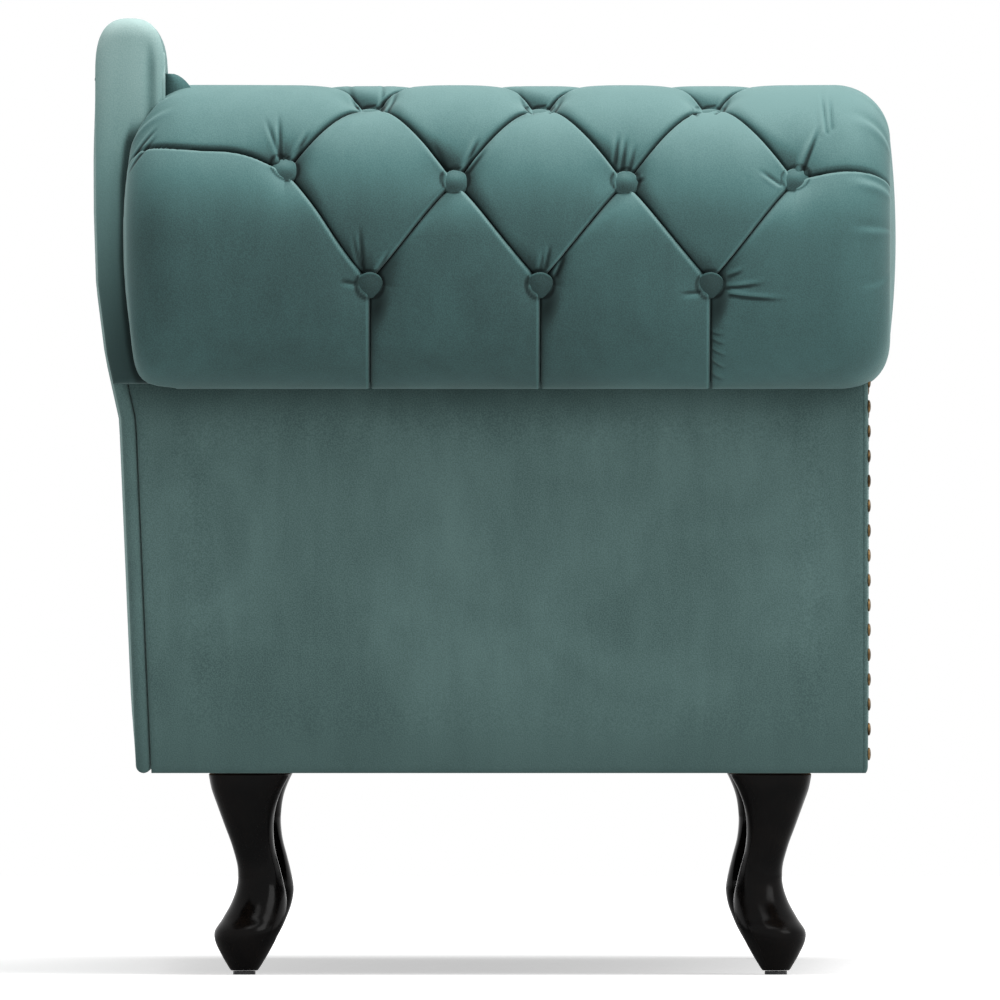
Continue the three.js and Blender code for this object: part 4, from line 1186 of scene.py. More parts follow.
@dataclass
class BackEnd:
    """The smooth end of the back: one panel from its hem up over the crest, as wide as the back is thick."""

    hem_z: float = 0.4765
    swell: float = 0.007
    edge_round: float = 0.013
    fold_depth: float = 0.0024
    fold_inset: float = 0.011
    cord_radius: float = 0.0023
    sizes: CouchSizes = SIZES

    def _outline(self, height: Array) -> tuple[Array, Array]:
        """The rear and inner edges in Y at each height: the rake below, the half oval above."""
        s = self.sizes
        top = s.height
        rise = np.clip((height - (top - s.crest_depth)) / s.crest_depth, 0, 1)
        middle = s.rear_y(np.minimum(height, top - s.crest_depth)) - s.crest_thickness / 2
        full = np.maximum(0, 1 - rise ** s.crest_rise_power)
        half = s.crest_thickness / 2 * full ** (1 / s.crest_side_power)
        return middle + half, middle - half

    def build(self, velvet: Material) -> list[Piece]:
        """Makes the panel and the cord down its inner edge.

        The face swells as a quarter circle from its edges, and a soft fold runs down inside it. Painted shade
        lies along the fold and a painted shadow beside the roll's rear outline.

        Args:
            velvet: The cover's material.

        Returns:
            The panel and its cord.
        """
        s = self.sizes
        height = stations(self.hem_z, s.height - 0.00002, 0.004, 0.016, 12)
        share = stations(0, 1, 0.03, 0.16, 9)
        rear, inner = self._outline(height)
        y = rear[:, None] + share[None] * (inner - rear)[:, None]
        z = np.broadcast_to(height[:, None], y.shape).copy()
        from_edge = np.minimum(rear[:, None] - y, y - inner[:, None])
        full = round_edge(from_edge, self.edge_round) * round_edge(z - self.hem_z, 0.004)
        full = full * round_edge(s.height - z, 0.016)
        middle = np.sin(math.pi * share)[None] ** 2 * 0.0022
        fold_at = inner[:, None] + self.fold_inset
        fade = smooth_step(s.height - 0.012, s.height - 0.045, z)
        fold = self.fold_depth * np.exp(-(((y - fold_at) / 0.0034) ** 2)) * fade
        x = s.x_panel - full * (self.swell + middle - fold) + 0.0004
        # Painted shade along the fold, and a painted shadow beside the roll's rear outline
        painted_fold_shading = 0.32 * np.exp(-(((y - fold_at) / 0.0036) ** 2)) * fade
        beside = np.maximum(y - np.interp(z, *ROLL_REAR_CONTOUR), 0)
        painted_shading = -painted_fold_shading - 0.80 * np.exp(-((beside / 0.0024) ** 2)) * smooth_step(0.690, 0.672, z)
        front = np.stack([x, y, z], -1)
        back = np.stack([np.full_like(y, s.x_panel + 0.004), y, z], -1)
        front[[0, -1], :, 0] = s.x_panel + 0.004
        front[:, [0, -1], 0] = s.x_panel + 0.002
        body = Body()
        body.add_shell(front, back)
        panel = body.piece("back_end_padding", velvet, Slot.VELVET, painted_shading)
        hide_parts("back_end_cover")
        line = np.linspace(0.60, s.height - 0.028, 40)
        _, inner = self._outline(line)
        sunk = s.x_panel - 0.0012 + 0.006 * smooth_step(s.height - 0.050, s.height - 0.028, line)
        path = np.stack([sunk, inner + self.cord_radius * 0.7, line], 1)
        cord = Body()
        cord.add_tube(cord_rings(path, TO_REAR, self.cord_radius))
        return [panel, cord.piece("back_end_cord", velvet, Slot.VELVET)]


# Flat covers


@dataclass
class Cover:
    """A thin padded cover over a face: its rim is rounded and its middle a little full."""

    name: str
    nodes: tuple[str, ...]
    thickness: float = 0.005
    rim: float = 0.006
    swell: float = 0.0012

    def build(self, face: Array, outward: Array, from_edge: Array, velvet: Material,
              painted_shading: Array | None = None) -> Piece:
        """Makes the cover.

        Each side lies half the thickness from the middle sheet, less towards the rim as a quarter
        circle, and the outer side swells towards the middle.

        Args:
            face: The grid of points on the outer face.
            outward: The direction that the face looks.
            from_edge: How far each point is from the rim.
            velvet: The cover's material.
            painted_shading: Painted shade and highlight on the outer face.

        Returns:
            The cover.
        """
        half = self.thickness / 2
        edge = round_edge(from_edge, self.rim)[..., None]
        full = smooth_step(0, 0.07, from_edge)[..., None] * self.swell
        middle = face - outward * half
        body = Body()
        body.add_shell(middle + outward * (half * edge + full), middle - outward * half * edge)
        cover = body.piece(self.name, velvet, Slot.VELVET, painted_shading)
        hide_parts(*self.nodes)
        return cover


@dataclass
class Covers:
    """The flat covers of the couch: head end, arm facing, base bands and outside back."""

    step: float = 0.012
    rim: float = 0.006
    facing_tuck: float = 0.006
    facing_shrink: float = 0.009
    facing_ease: float = 0.012
    side_overlap: float = 0.0035
    panel_top: float = 0.4805
    panel_tuck: float = 0.004
    deck_cloth: float = 0.0012
    sizes: CouchSizes = SIZES

    def _lines(self, u0: float, u1: float, v0: float, v1: float) -> tuple[Array, Array, Array]:
        """A grid over a rectangle, crowded at its rims, and the distance of each point from the rim."""
        u, v = np.meshgrid(stations(u0, u1, self.step, self.rim), stations(v0, v1, self.step, self.rim),
                           indexing="ij")
        edge = np.minimum(np.minimum(u - u0, u1 - u), np.minimum(v - v0, v1 - v))
        return u, v, edge

    def _side(self, top: float, tuck: float = 0.0) -> tuple[Array, Array, Array]:
        """A grid over an end of the base, its rear edge along the rake, and its distances from the rim.

        Args:
            top: The height of the upper edge.
            tuck: How much of the upper rim is hidden.

        Returns:
            Y, Z and the distance of each point from the rim.
        """
        s = self.sizes
        share = stations(0, 1, 0.02, 0.011)[:, None]
        z = stations(s.leg_height, top, self.step, self.rim)[None, :] + 0 * share
        y0 = s.y_front + s.band_thickness + s.gap - self.side_overlap
        y1 = s.rear_y(z) - s.outside_thickness - s.gap
        y = y0 + share * (y1 - y0)
        edge = np.minimum(np.minimum(y - y0, y1 - y), np.minimum(z - s.leg_height, top - z + tuck))
        return y, z, edge

    def _end_panel(self, velvet: Material) -> Piece:
        """The outer panel under the roll, its rear edge along the rake, with painted light towards the front
        and a painted shadow under the roll.
        """
        s = self.sizes
        y, z, edge = self._side(self.panel_top, self.panel_tuck)
        face = np.stack([np.full_like(y, s.x_panel), y, z], -1)
        # Painted light towards the front and a painted shadow under the roll
        painted_shading = 0.10 * smooth_step(0.05, -0.26, y) - 0.36 * np.exp(-(((self.panel_top - z) / 0.032) ** 2))
        return Cover("end_panel_cover", ("end_panel",)).build(face, TO_HEAD, edge, velvet, painted_shading)

    def _facing(self, velvet: Material) -> Piece:
        """The front of the arm: up to the underside of the roll, its inner edge along the arm's pad."""
        s = self.sizes
        u = stations(0, 1, 0.05, 0.03)[:, None]
        v = stations(0, 1, 0.03, 0.016)[None, :]
        x_top = s.x_panel + u * (s.inside_arm_x(s.z_roll) - s.x_panel)
        half = s.roll_width / 2 - self.facing_shrink
        level = np.sqrt(np.maximum(0, 1 - ((x_top - s.x_roll) / half) ** 2))
        z_top = s.z_roll - (s.roll_height / 2 - self.facing_shrink) * level + self.facing_tuck
        z = s.leg_height + v * (z_top - s.leg_height)
        width = s.inside_arm_x(z) - s.x_panel - self.facing_ease * smooth_step(s.z_roll - 0.07, s.z_roll, z)
        x = s.x_panel + u * width
        sides = np.minimum(u * width, (1 - u) * width)
        edge = np.minimum(sides, np.minimum(z - s.leg_height, z_top - z + 0.003))
        face = np.stack([x, np.full_like(x, s.y_front), z], -1)
        return Cover("arm_facing_cover", ("arm_front_facing",)).build(face, TO_FRONT, edge, velvet)

    def _bands(self, velvet: Material) -> list[Piece]:
        """The bands round the base: front, foot and the part of the rear past the back."""
        s = self.sizes
        top = s.z_deck - s.gap
        x0 = s.inside_arm_x(s.leg_height) + s.gap
        x, z, edge = self._lines(x0, s.x_foot_band + 0.0005, s.leg_height, top)
        face = np.stack([x, np.full_like(x, s.y_front), z], -1)
        front = Cover("front_band_cover", ("front_band",)).build(face, TO_FRONT, edge, velvet)
        y, z, edge = self._side(top)
        face = np.stack([np.full_like(y, s.x_foot_band), y, z], -1)
        foot = Cover("foot_band_cover", ("foot_band",)).build(face, TO_FOOT, edge, velvet)
        x, z, edge = self._lines(s.x_back_inner + 0.0008, s.x_foot_band, s.leg_height, top)
        face = np.stack([x, s.rear_y(z), z], -1)
        rear = Cover("rear_band_cover", ("rear_band",), s.outside_thickness, 0.006)
        return [front, foot, rear.build(face, TO_REAR, edge, velvet)]

    def _outside_back(self, velvet: Material) -> Piece:
        """The outside of the back: from the base up to the seam under the crest, on the raking face."""
        s = self.sizes
        x = stations(s.x_panel + 0.0006, s.x_back_inner, self.step, self.rim)[:, None]
        share = stations(0, 1, 0.025, 0.014)[None, :]
        z_top = s.seam_z(x, s.crest_depth) - 0.0005
        z = s.leg_height + share * (z_top - s.leg_height)
        x = x + 0 * z
        edge = np.minimum(np.minimum(x - x[0], x[-1] - x), np.minimum(z - s.leg_height, z_top - z))
        face = np.stack([x, s.rear_y(z), z], -1)
        cover = Cover("outside_back_cover", ("outside_back",), s.outside_thickness, 0.006, 0.0022)
        return cover.build(face, TO_REAR, edge, velvet)

    def _deck(self, velvet: Material) -> Piece:
        """The thin cloth over the top of the base, which shows only in the seam under the cushion."""
        s = self.sizes
        x0, x1 = s.x_panel + 0.10, s.x_foot_band - 0.0012
        x, share = np.meshgrid(np.linspace(x0, x1, 40), np.linspace(0, 1, 16), indexing="ij")
        y0, y1 = s.y_front + 0.0012, float(s.rear_y(s.z_deck)) - 0.0016
        y = y0 + share * (y1 - y0)
        top = np.stack([x, y, np.full_like(x, s.z_deck + self.deck_cloth - 0.0002)], -1)
        body = Body()
        body.add_shell(top, top - np.array([0, 0, self.deck_cloth]))
        return body.piece("seat_deck_cloth", velvet, Slot.VELVET)

    def build(self, velvet: Material) -> list[Piece]:
        """Makes every flat cover.

        Args:
            velvet: The covers' material.

        Returns:
            The covers.
        """
        return [self._end_panel(velvet), self._facing(velvet), *self._bands(velvet),
                self._outside_back(velvet), self._deck(velvet)]


# The seat


@dataclass
class SeatCushion:
    """The long boxed cushion: crowned on top, full at its sides, with a cord in each edge seam."""

    corner: float = 0.030
    voxel: float = 0.0065
    inset: float = 0.004
    crown_reach: float = 0.22
    side_full: float = 0.003
    notch_room: float = 0.0386
    foot_swell: float = 0.004
    pressure: float = 4.0
    tension: float = 12
    bending: float = 0.6
    frames: int = 20
    cap: float = 0.009
    cord_radius: float = 0.0042
    cord_out: float = 0.45
    top_seam_drop: float = 0.006
    sizes: CouchSizes = SIZES

    def outline(self) -> Array:
        """The plan of the cushion: an oblong with the place where the back stands cut away.

        Returns:
            The corners in X and Y, in order.
        """
        s = self.sizes
        x0 = float(s.inside_arm_x(s.z_deck)) + s.gap
        y_rear = float(s.rear_y(s.z_deck))
        y_notch = y_rear - s.crest_thickness - self.notch_room
        x_notch = s.back_end_x + s.gap
        return np.array([
            [x0, s.y_front], [s.x_foot, s.y_front], [s.x_foot, y_rear], [x_notch, y_rear],
            [x_notch, y_notch], [x0, y_notch],
        ])

    def rounded(self, inset: float, step: float) -> Array:
        """The plan moved inwards, with every corner turned as a quarter circle, at even steps.

        Args:
            inset: How far inwards.
            step: The spacing of the points.

        Returns:
            The points in X and Y.
        """
        corners = self.outline()
        ahead = unit(np.roll(corners, -1, axis=0) - corners)
        behind = np.roll(ahead, 1, axis=0)
        inward = np.stack([-ahead[:, 1], ahead[:, 0]], 1) + np.stack([-behind[:, 1], behind[:, 0]], 1)
        corners = corners + inset * inward
        turn = np.linspace(0, 1, 9)[:, None]
        points = []
        for corner, before, after in zip(corners, behind, ahead):
            start, end = corner - before * self.corner, corner + after * self.corner
            centre = start + end - corner
            angle = turn * math.pi / 2
            points.append(centre + np.cos(angle) * (start - centre) + np.sin(angle) * (end - centre))
        line = np.concatenate([*points, points[0][:1]])
        run = np.concatenate([[0], np.cumsum(np.hypot(*np.diff(line, axis=0).T))])
        at = np.linspace(0, run[-1], int(run[-1] / step), endpoint=False)
        return np.stack([np.interp(at, run, line[:, k]) for k in range(2)], 1)

    def _edge_distance(self, xy: Array) -> Array:
        """How far each place lies inside the plan: the least distance to its straight sides."""
        corners = self.outline()
        best = np.full(len(xy), np.inf)
        for a, b in zip(corners, np.roll(corners, -1, axis=0)):
            along = b - a
            t = np.clip(((xy - a) @ along) / (along @ along), 0, 1)
            best = np.minimum(best, np.hypot(*(xy - a - t[:, None] * along).T))
        return best

    def _block(self) -> Piece:
        """The cushion's box, remade in even squares and crowned.

        The top rises as a parabola of the distance from the edge, and the sides swell as one of the
        height.
        """
        s = self.sizes
        ring = self.rounded(self.inset, 0.012)
        count = len(ring)
        low, high = s.z_deck + s.gap + self.inset, s.z_deck + s.gap + s.cushion_height - self.inset
        points = np.concatenate([np.column_stack([ring, np.full(count, z)]) for z in (low, high)])
        faces = [[i, (i + 1) % count, (i + 1) % count + count, i + count] for i in range(count)]
        mesh = bpy.data.meshes.new("seat_cushion_block")
        mesh.from_pydata(points.tolist(), [], [*faces, list(range(count))[::-1],
                                               list(range(count, 2 * count))])
        block = bpy.data.objects.new("seat_cushion_block", mesh)
        bpy.context.scene.collection.objects.link(block)
        remesh = block.modifiers.new("even squares", "REMESH")
        remesh.mode, remesh.voxel_size = "VOXEL", self.voxel
        baked = self._baked(block)
        co = self._points(baked)
        distance = self._edge_distance(co[:, :2])
        share = (co[:, 2] - low) / (high - low)
        reach = 1 - (1 - np.clip(distance / self.crown_reach, 0, 1)) ** 2
        co[:, 2] += s.cushion_crown * reach * smooth_step(0.4, 1, share)
        middle = np.array([co[:, 0].mean(), co[:, 1].mean()])
        outwards = unit(co[:, :2] - middle) * smooth_step(0.03, 0, distance)[:, None]
        co[:, :2] += outwards * (self.side_full * (1 - (2 * np.clip(share, 0, 1) - 1) ** 2))[:, None]
        baked.vertices.foreach_set("co", co.ravel())
        block.modifiers.clear()
        block.data = baked
        return block

    @staticmethod
    def _baked(piece: Piece) -> bpy.types.Mesh:
        """A mesh with the modifiers of a piece in it."""
        graph = bpy.context.evaluated_depsgraph_get()
        return bpy.data.meshes.new_from_object(piece.evaluated_get(graph))

    @staticmethod
    def _points(mesh: bpy.types.Mesh) -> Array:
        """A mesh's points as rows of three."""
        co = np.empty(len(mesh.vertices) * 3)
        mesh.vertices.foreach_get("co", co)
        return co.reshape(-1, 3)

    def _simulated(self, block: Piece) -> Array:
        """The cushion's points after its cloth has been blown up a little.

        Args:
            block: The crowned block.

        Returns:
            The points, none of them further from its start than the cap.
        """
        start = self._points(block.data)
        cloth = block.modifiers.new("cloth", "CLOTH")
        cloth.settings.quality = 4
        cloth.settings.use_pressure = True
        cloth.settings.uniform_pressure_force = self.pressure
        cloth.settings.tension_stiffness = self.tension
        cloth.settings.bending_stiffness = self.bending
        cloth.settings.effector_weights.gravity = 0
        cloth.collision_settings.use_collision = False
        cloth.point_cache.frame_start, cloth.point_cache.frame_end = 1, self.frames
        for number in range(1, self.frames + 1):
            bpy.context.scene.frame_set(number)
        end = self._points(self._baked(block))
        block.modifiers.clear()
        bpy.context.scene.frame_set(1)
        move = end - start
        length = np.linalg.norm(move, axis=1, keepdims=True)
        return start + move * np.minimum(1, self.cap / np.maximum(length, 1e-9))

    def _off_notch(self, xy: Array, corner: Array) -> Array:
        """Moves places out of the notch: none is nearer than the round's radius to its centre line.

        Args:
            xy: The places in X and Y.
            corner: The notch's inner corner, before it is rounded.

        Returns:
            The places, those in the notch moved to its rounded outline.
        """
        centre = corner + self.corner * np.array([-1.0, 1.0])
        off = np.column_stack([np.maximum(xy[:, 0] - centre[0], 0), np.minimum(xy[:, 1] - centre[1], 0)])
        length = np.hypot(off[:, 0], off[:, 1])
        return xy + off * (np.maximum(1, self.corner / np.maximum(length, 1e-9)) - 1)[:, None]

    def build(self, velvet: Material) -> list[Piece]:
        """Makes the cushion and the cords that follow its two edge seams.

        After the simulation the cushion is held over its deck, off its arm and out of its notch. The
        cords run where the cushion's skin is nearest to its outline, smoothed over their neighbours.

        Args:
            velvet: The cover's material.

        Returns:
            The cushion and its cords.
        """
        s = self.sizes
        block = self._block()
        co = self._simulated(block)
        corners = self.outline()
        co[:, 2] = np.clip(co[:, 2], s.z_deck + s.gap, s.height)
        co[:, 0] = np.clip(co[:, 0], corners[0, 0], s.x_foot + self.foot_swell)
        co[:, :2] = self._off_notch(co[:, :2], corners[4])
        block.data.vertices.foreach_set("co", co.ravel())
        mesh = block.data
        mesh.polygons.foreach_set("use_smooth", np.ones(len(mesh.polygons), bool))
        mesh.materials.clear()
        mesh.materials.append(velvet)
        mesh.name = block.name = "seat_cushion_padding"
        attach(block, BODY)
        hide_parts("seat_cushion")
        log.info("seat_cushion_padding: %d faces", len(mesh.polygons))
        tree = BVHTree.FromPolygons([v.co for v in mesh.vertices], [p.vertices for p in mesh.polygons])
        cords = Body()
        ring = self.rounded(0.0, 0.009)
        z_low = s.z_deck + s.gap
        for z in (z_low + self.cord_radius * 1.1, z_low + s.cushion_height - self.top_seam_drop):
            path = []
            for x, y in ring:
                place, normal, _, _ = tree.find_nearest(Vector((x, y, z)))
                path.append(place + normal * self.cord_radius * self.cord_out)
            path = np.array([list(p) for p in path])
            path = (np.roll(path, 1, axis=0) + 2 * path + np.roll(path, -1, axis=0)) / 4
            path[:, 2] = np.maximum(path[:, 2], z_low + self.cord_radius)
            cords.add_tube(cord_rings(path, TO_TOP, self.cord_radius, closed=True), closed=True)
        return [block, cords.piece("seat_cushion_cords", velvet, Slot.VELVET)]


# Legs and nails


@dataclass
class CabrioleLegs:
    """Four carved legs that curve out over the corners and end in a small pad foot."""

    top_width: float = 0.068
    inset_front: float = 0.078
    inset_rear: float = 0.091
    inset_end: float = 0.085
    glide_height: float = 0.003
    rings: int = 90
    sides: int = 56
    sizes: CouchSizes = SIZES

    def _outline(self, share: Array) -> tuple[Array, Array]:
        """How far the side view lies outwards and inwards, as shares of half the top width.

        The chosen points are joined by smooth cubic steps, with slopes from their neighbours.
        """
        height = np.array([0, 0.077, 0.16, 0.19, 0.264, 0.35, 0.44, 0.51, 0.62, 0.744, 0.85, 0.917, 1])
        out = np.array([0.45, 0.66, 0.83, 0.84, 0.64, 0.42, 0.29, 0.28, 0.40, 0.61, 0.79, 0.90, 0.98])
        inn = np.array([0.20, 0.42, 0.63, 0.69, 0.82, 0.88, 0.81, 0.73, 0.60, 0.57, 0.65, 0.77, 0.98])
        return self._smooth(share, height, out), self._smooth(share, height, inn)

    @staticmethod
    def _smooth(at: Array, x: Array, y: Array) -> Array:
        """A cubic curve through points, its slope at each point the mean of the slopes beside it."""
        slope = np.gradient(y, x)
        i = np.clip(np.searchsorted(x, at) - 1, 0, len(x) - 2)
        width = x[i + 1] - x[i]
        t = (at - x[i]) / width
        a, b = (2 * t ** 3 - 3 * t ** 2 + 1), (t ** 3 - 2 * t ** 2 + t)
        c, d = (-2 * t ** 3 + 3 * t ** 2), (t ** 3 - t ** 2)
        return a * y[i] + b * width * slope[i] + c * y[i + 1] + d * width * slope[i + 1]

    def corners(self) -> list[tuple[str, float, float, int, int]]:
        """The corners: name, place and the ways that are outwards.

        Returns:
            One row a leg.
        """
        s = self.sizes
        x0, x1 = s.x_panel + self.inset_end, s.x_foot_band - self.inset_end
        y0, y1 = s.y_front + self.inset_front, s.y_rear_foot - self.inset_rear
        return [("front_head", x0, y0, -1, -1), ("rear_head", x0, y1, -1, 1),
                ("front_foot", x1, y0, 1, -1), ("rear_foot", x1, y1, 1, 1)]

    def build(self, lacquer: Material) -> list[Piece]:
        """Makes the legs: squares with round sides that turn round towards the foot.

        Args:
            lacquer: The legs' finish.

        Returns:
            The legs.
        """
        s = self.sizes
        half = self.top_width / 2
        share = stations(0, 1, 1 / self.rings, 0.014, 5)
        out, inn = self._outline(share)
        edge = 1 - 0.06 * (1 - round_edge(np.minimum(share, 1 - share), 0.014))
        middle = (half * (out - inn) / 2)[:, None]
        reach = (half * (out + inn) / 2 * edge)[:, None]
        power = (1 - share ** 2 / 2)[:, None]
        z = self.glide_height + s.gap + share * (s.leg_height - self.glide_height - 2 * s.gap)
        turn = 2 * math.pi * (np.arange(self.sides) + 0.5) / self.sides
        c = np.sign(np.cos(turn)) * np.abs(np.cos(turn)) ** power
        n = np.sign(np.sin(turn)) * np.abs(np.sin(turn)) ** power
        legs = []
        for name, x, y, out_x, out_y in self.corners():
            body = Body()
            body.add_tube(np.stack([x + out_x * (middle + reach * c), y + out_y * (middle + reach * n),
                                    np.broadcast_to(z[:, None], c.shape)], -1))
            leg = body.piece(f"carved_leg_{name}", lacquer, Slot.LACQUER)
            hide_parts(f"leg_{name}")
            legs.append(leg)
        return legs


@dataclass
class NailTrim:
    """Domed brass nail heads set close together down the edges of the arm facing."""

    radius: float = 0.0052
    height: float = 0.0020
    rim: float = 0.0004
    sunk: float = 0.0006
    pitch: float = 0.020
    top_drop: float = 0.062
    edge: float = 0.007
    start: float = 0.0154
    count: int = 16
    sides: int = 18
    sizes: CouchSizes = SIZES

    def _rows(self) -> Array:
        """The places of the heads: up the outer edge, and up the inner edge beside the pad."""
        s = self.sizes
        z = s.leg_height + self.start + self.pitch * np.arange(self.count)
        outer = np.column_stack([np.full(self.count, s.x_panel + self.edge), z])
        top = s.z_roll - self.top_drop
        z = np.linspace(z[0], top, round((top - z[0]) / self.pitch) + 1)
        inner = np.column_stack([s.inside_arm_x(z) - self.edge, z])
        return np.concatenate([outer, inner])

    def build(self, brass: Material) -> Piece:
        """Turns one dome a nail, its profile a quarter of an ellipse over a short rim.

        Args:
            brass: The heads' finish.

        Returns:
            The nails as one piece.
        """
        s = self.sizes
        turn = np.linspace(0, math.pi / 2, 6)[:-1]
        dome = np.stack([self.radius * np.cos(turn), self.rim + (self.height - self.rim) * np.sin(turn)], 1)
        profile = np.concatenate([[[self.radius * 0.96, -self.sunk]], dome])
        body = Body()
        for x, z in self._rows():
            place = np.array([x, s.y_front - self.rim, z])
            rings = lathe_rings(profile, place, TO_FRONT, self.sides)
            body.add_tube(rings, np.stack([place - self.sunk * TO_FRONT, place + self.height * TO_FRONT]))
        nails = body.piece("arm_nail_heads", brass, Slot.BRASS)
        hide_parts("arm_nail_strip")
        return nails


# Finishes


@dataclass
class Nodes:
    """A small hand for wiring the nodes of one tree."""

    tree: bpy.types.NodeTree

    def add(self, kind: str, **settings: object) -> Node:
        """Adds a node and sets its plain properties."""
        node = self.tree.nodes.new(kind)
        for name, value in settings.items():
            setattr(node, name, value)
        return node

    def link(self, source: Socket, target: Socket) -> None:
        """Joins two sockets."""
        self.tree.links.new(source, target)

    def feed(self, target: Socket, value: object) -> None:
        """Joins a socket to a socket, or sets a plain value on it."""
        if isinstance(value, Socket):
            self.link(value, target)
        else:
            target.default_value = value

    def math(self, operation: str, a: object, b: object = 0.0, clamp: bool = False) -> Socket:
        """One sum of two values or sockets."""
        node = self.add("ShaderNodeMath", operation=operation, use_clamp=clamp)
        self.feed(node.inputs[0], a)
        self.feed(node.inputs[1], b)
        return node.outputs[0]

    def scaled(self, value: Socket, factor: float, start: float) -> Socket:
        """A value times a factor, plus a start."""
        return self.math("ADD", self.math("MULTIPLY", value, factor), start)

    @staticmethod
    def put(node: Node, **values: object) -> None:
        """Sets plain values on a node's inputs. An underscore stands for each space in a name."""
        for label, value in values.items():
            node.inputs[label.replace("_", " ")].default_value = value

    def noise(self, vector: Socket, scale: object, detail: float = 2.0, distortion: float = 0.0) -> Socket:
        """A noise texture's value."""
        node = self.add("ShaderNodeTexNoise")
        self.link(vector, node.inputs["Vector"])
        self.feed(node.inputs["Scale"], scale)
        self.put(node, Detail=detail, Distortion=distortion)
        return node.outputs["Fac"]

    def stretch(self, vector: Socket, scale: Triple, turn: Triple = (0, 0, 0)) -> Socket:
        """A vector turned, then scaled along each axis."""
        node = self.add("ShaderNodeMapping")
        self.link(vector, node.inputs["Vector"])
        self.put(node, Scale=scale, Rotation=turn)
        return node.outputs[0]

    def mix(self, factor: object, a: object, b: object, blend: str = "MIX") -> Socket:
        """A mix of two colours."""
        node = self.add("ShaderNodeMix", data_type="RGBA", blend_type=blend, clamp_factor=True)
        self.feed(node.inputs[0], factor)
        self.feed(node.inputs[6], self._rgba(a))
        self.feed(node.inputs[7], self._rgba(b))
        return node.outputs[2]

    @staticmethod
    def _rgba(value: object) -> object:
        """A colour with its alpha, or a socket as it is."""
        return (*value, 1.0) if isinstance(value, tuple) and len(value) == 3 else value

    def ramp(self, value: Socket, low: float, high: float) -> Socket:
        """A value spread out smoothly so that low becomes 0 and high becomes 1."""
        node = self.add("ShaderNodeMapRange", interpolation_type="SMOOTHSTEP")
        self.link(value, node.inputs["Value"])
        self.put(node, From_Min=low, From_Max=high)
        return node.outputs["Result"]


def shared_group(name: str, inputs: dict[str, tuple[str, float]], outputs: dict[str, str]) -> tuple:
    """Starts a shader group that several finishes use.

    Args:
        name: The group's name.
        inputs: Each input's name with its kind and its starting value.
        outputs: Each output's name with its kind.

    Returns:
        The group, its wiring hand, its input node and its output node.
    """
    group = bpy.data.node_groups.new(name, "ShaderNodeTree")
    for label, (kind, start) in inputs.items():
        socket = group.interface.new_socket(name=label, in_out="INPUT", socket_type=kind)
        if kind == "NodeSocketFloat":
            socket.default_value = start
    for label, kind in outputs.items():
        group.interface.new_socket(name=label, in_out="OUTPUT", socket_type=kind)
    nodes = Nodes(group)
    return group, nodes, nodes.add("NodeGroupInput"), nodes.add("NodeGroupOutput")


FLOAT, VECTOR = "NodeSocketFloat", "NodeSocketVector"


class SharedEffects:
    """The effects that more than one finish uses, each built once as a group."""

    def __init__(self) -> None:
        """Builds the groups."""
        self.nap = self._nap()
        self.patina = self._patina()
        self.weave = self._weave()

    @staticmethod
    def _nap() -> bpy.types.NodeTree:
        """Pile that lies this way and that: broad patches, brushed streaks and the speckle of its tips."""
        group, nodes, start, end = shared_group(
            "pile_nap", {"Vector": (VECTOR, 0), "Patch Scale": (FLOAT, 9), "Speckle Scale": (FLOAT, 420)},
            {"Shade": FLOAT, "Height": FLOAT},
        )
        vector = start.outputs["Vector"]
        patches = nodes.noise(vector, start.outputs["Patch Scale"], 3.0, 0.6)
        streaks = nodes.noise(nodes.stretch(vector, (1, 1, 0.3), (0.25, 0.1, 0)), 60.0, 3.0, 0.3)
        speckle = nodes.noise(vector, start.outputs["Speckle Scale"], 2.0)
        broad = nodes.math("MULTIPLY", nodes.ramp(patches, 0.30, 0.72), 0.40)
        brushed = nodes.math("MULTIPLY", nodes.ramp(streaks, 0.28, 0.72), 0.14)
        fine = nodes.math("MULTIPLY", nodes.ramp(speckle, 0.33, 0.67), 0.46)
        nodes.link(nodes.math("ADD", nodes.math("ADD", broad, brushed), fine), end.inputs["Shade"])
        nodes.link(nodes.math("ADD", nodes.math("MULTIPLY", streaks, 0.6), speckle), end.inputs["Height"])
        return group

    @staticmethod
    def _patina() -> bpy.types.NodeTree:
        """Soft clouds with finer specks, for the wear of metal and polish."""
        group, nodes, start, end = shared_group(
            "patina_clouds", {"Vector": (VECTOR, 0), "Scale": (FLOAT, 60)}, {"Mask": FLOAT, "Fine": FLOAT},
        )
        clouds = nodes.noise(start.outputs["Vector"], start.outputs["Scale"], 4.0, 0.8)
        finer = nodes.math("MULTIPLY", start.outputs["Scale"], 9.0)
        nodes.link(nodes.ramp(clouds, 0.38, 0.68), end.inputs["Mask"])
        nodes.link(nodes.noise(start.outputs["Vector"], finer, 3.0), end.inputs["Fine"])
        return group

    @staticmethod
    def _weave() -> bpy.types.NodeTree:
        """Threads over and under each other: the product of two wave trains, as a height."""
        group, nodes, start, end = shared_group(
            "plain_weave", {"Vector": (VECTOR, 0), "Thread Scale": (FLOAT, 300)},
            {"Height": FLOAT, "Fuzz": FLOAT},
        )
        waves = []
        for axis in ("X", "Y"):
            wave = nodes.add("ShaderNodeTexWave", wave_type="BANDS", bands_direction=axis)
            nodes.link(start.outputs["Vector"], wave.inputs["Vector"])
            nodes.link(start.outputs["Thread Scale"], wave.inputs["Scale"])
            nodes.put(wave, Distortion=0.6)
            waves.append(wave.outputs["Fac"])
        nodes.link(nodes.math("MAXIMUM", *waves), end.inputs["Height"])
        fuzz = nodes.noise(start.outputs["Vector"], start.outputs["Thread Scale"], 3.0)
        nodes.link(fuzz, end.inputs["Fuzz"])
        return group


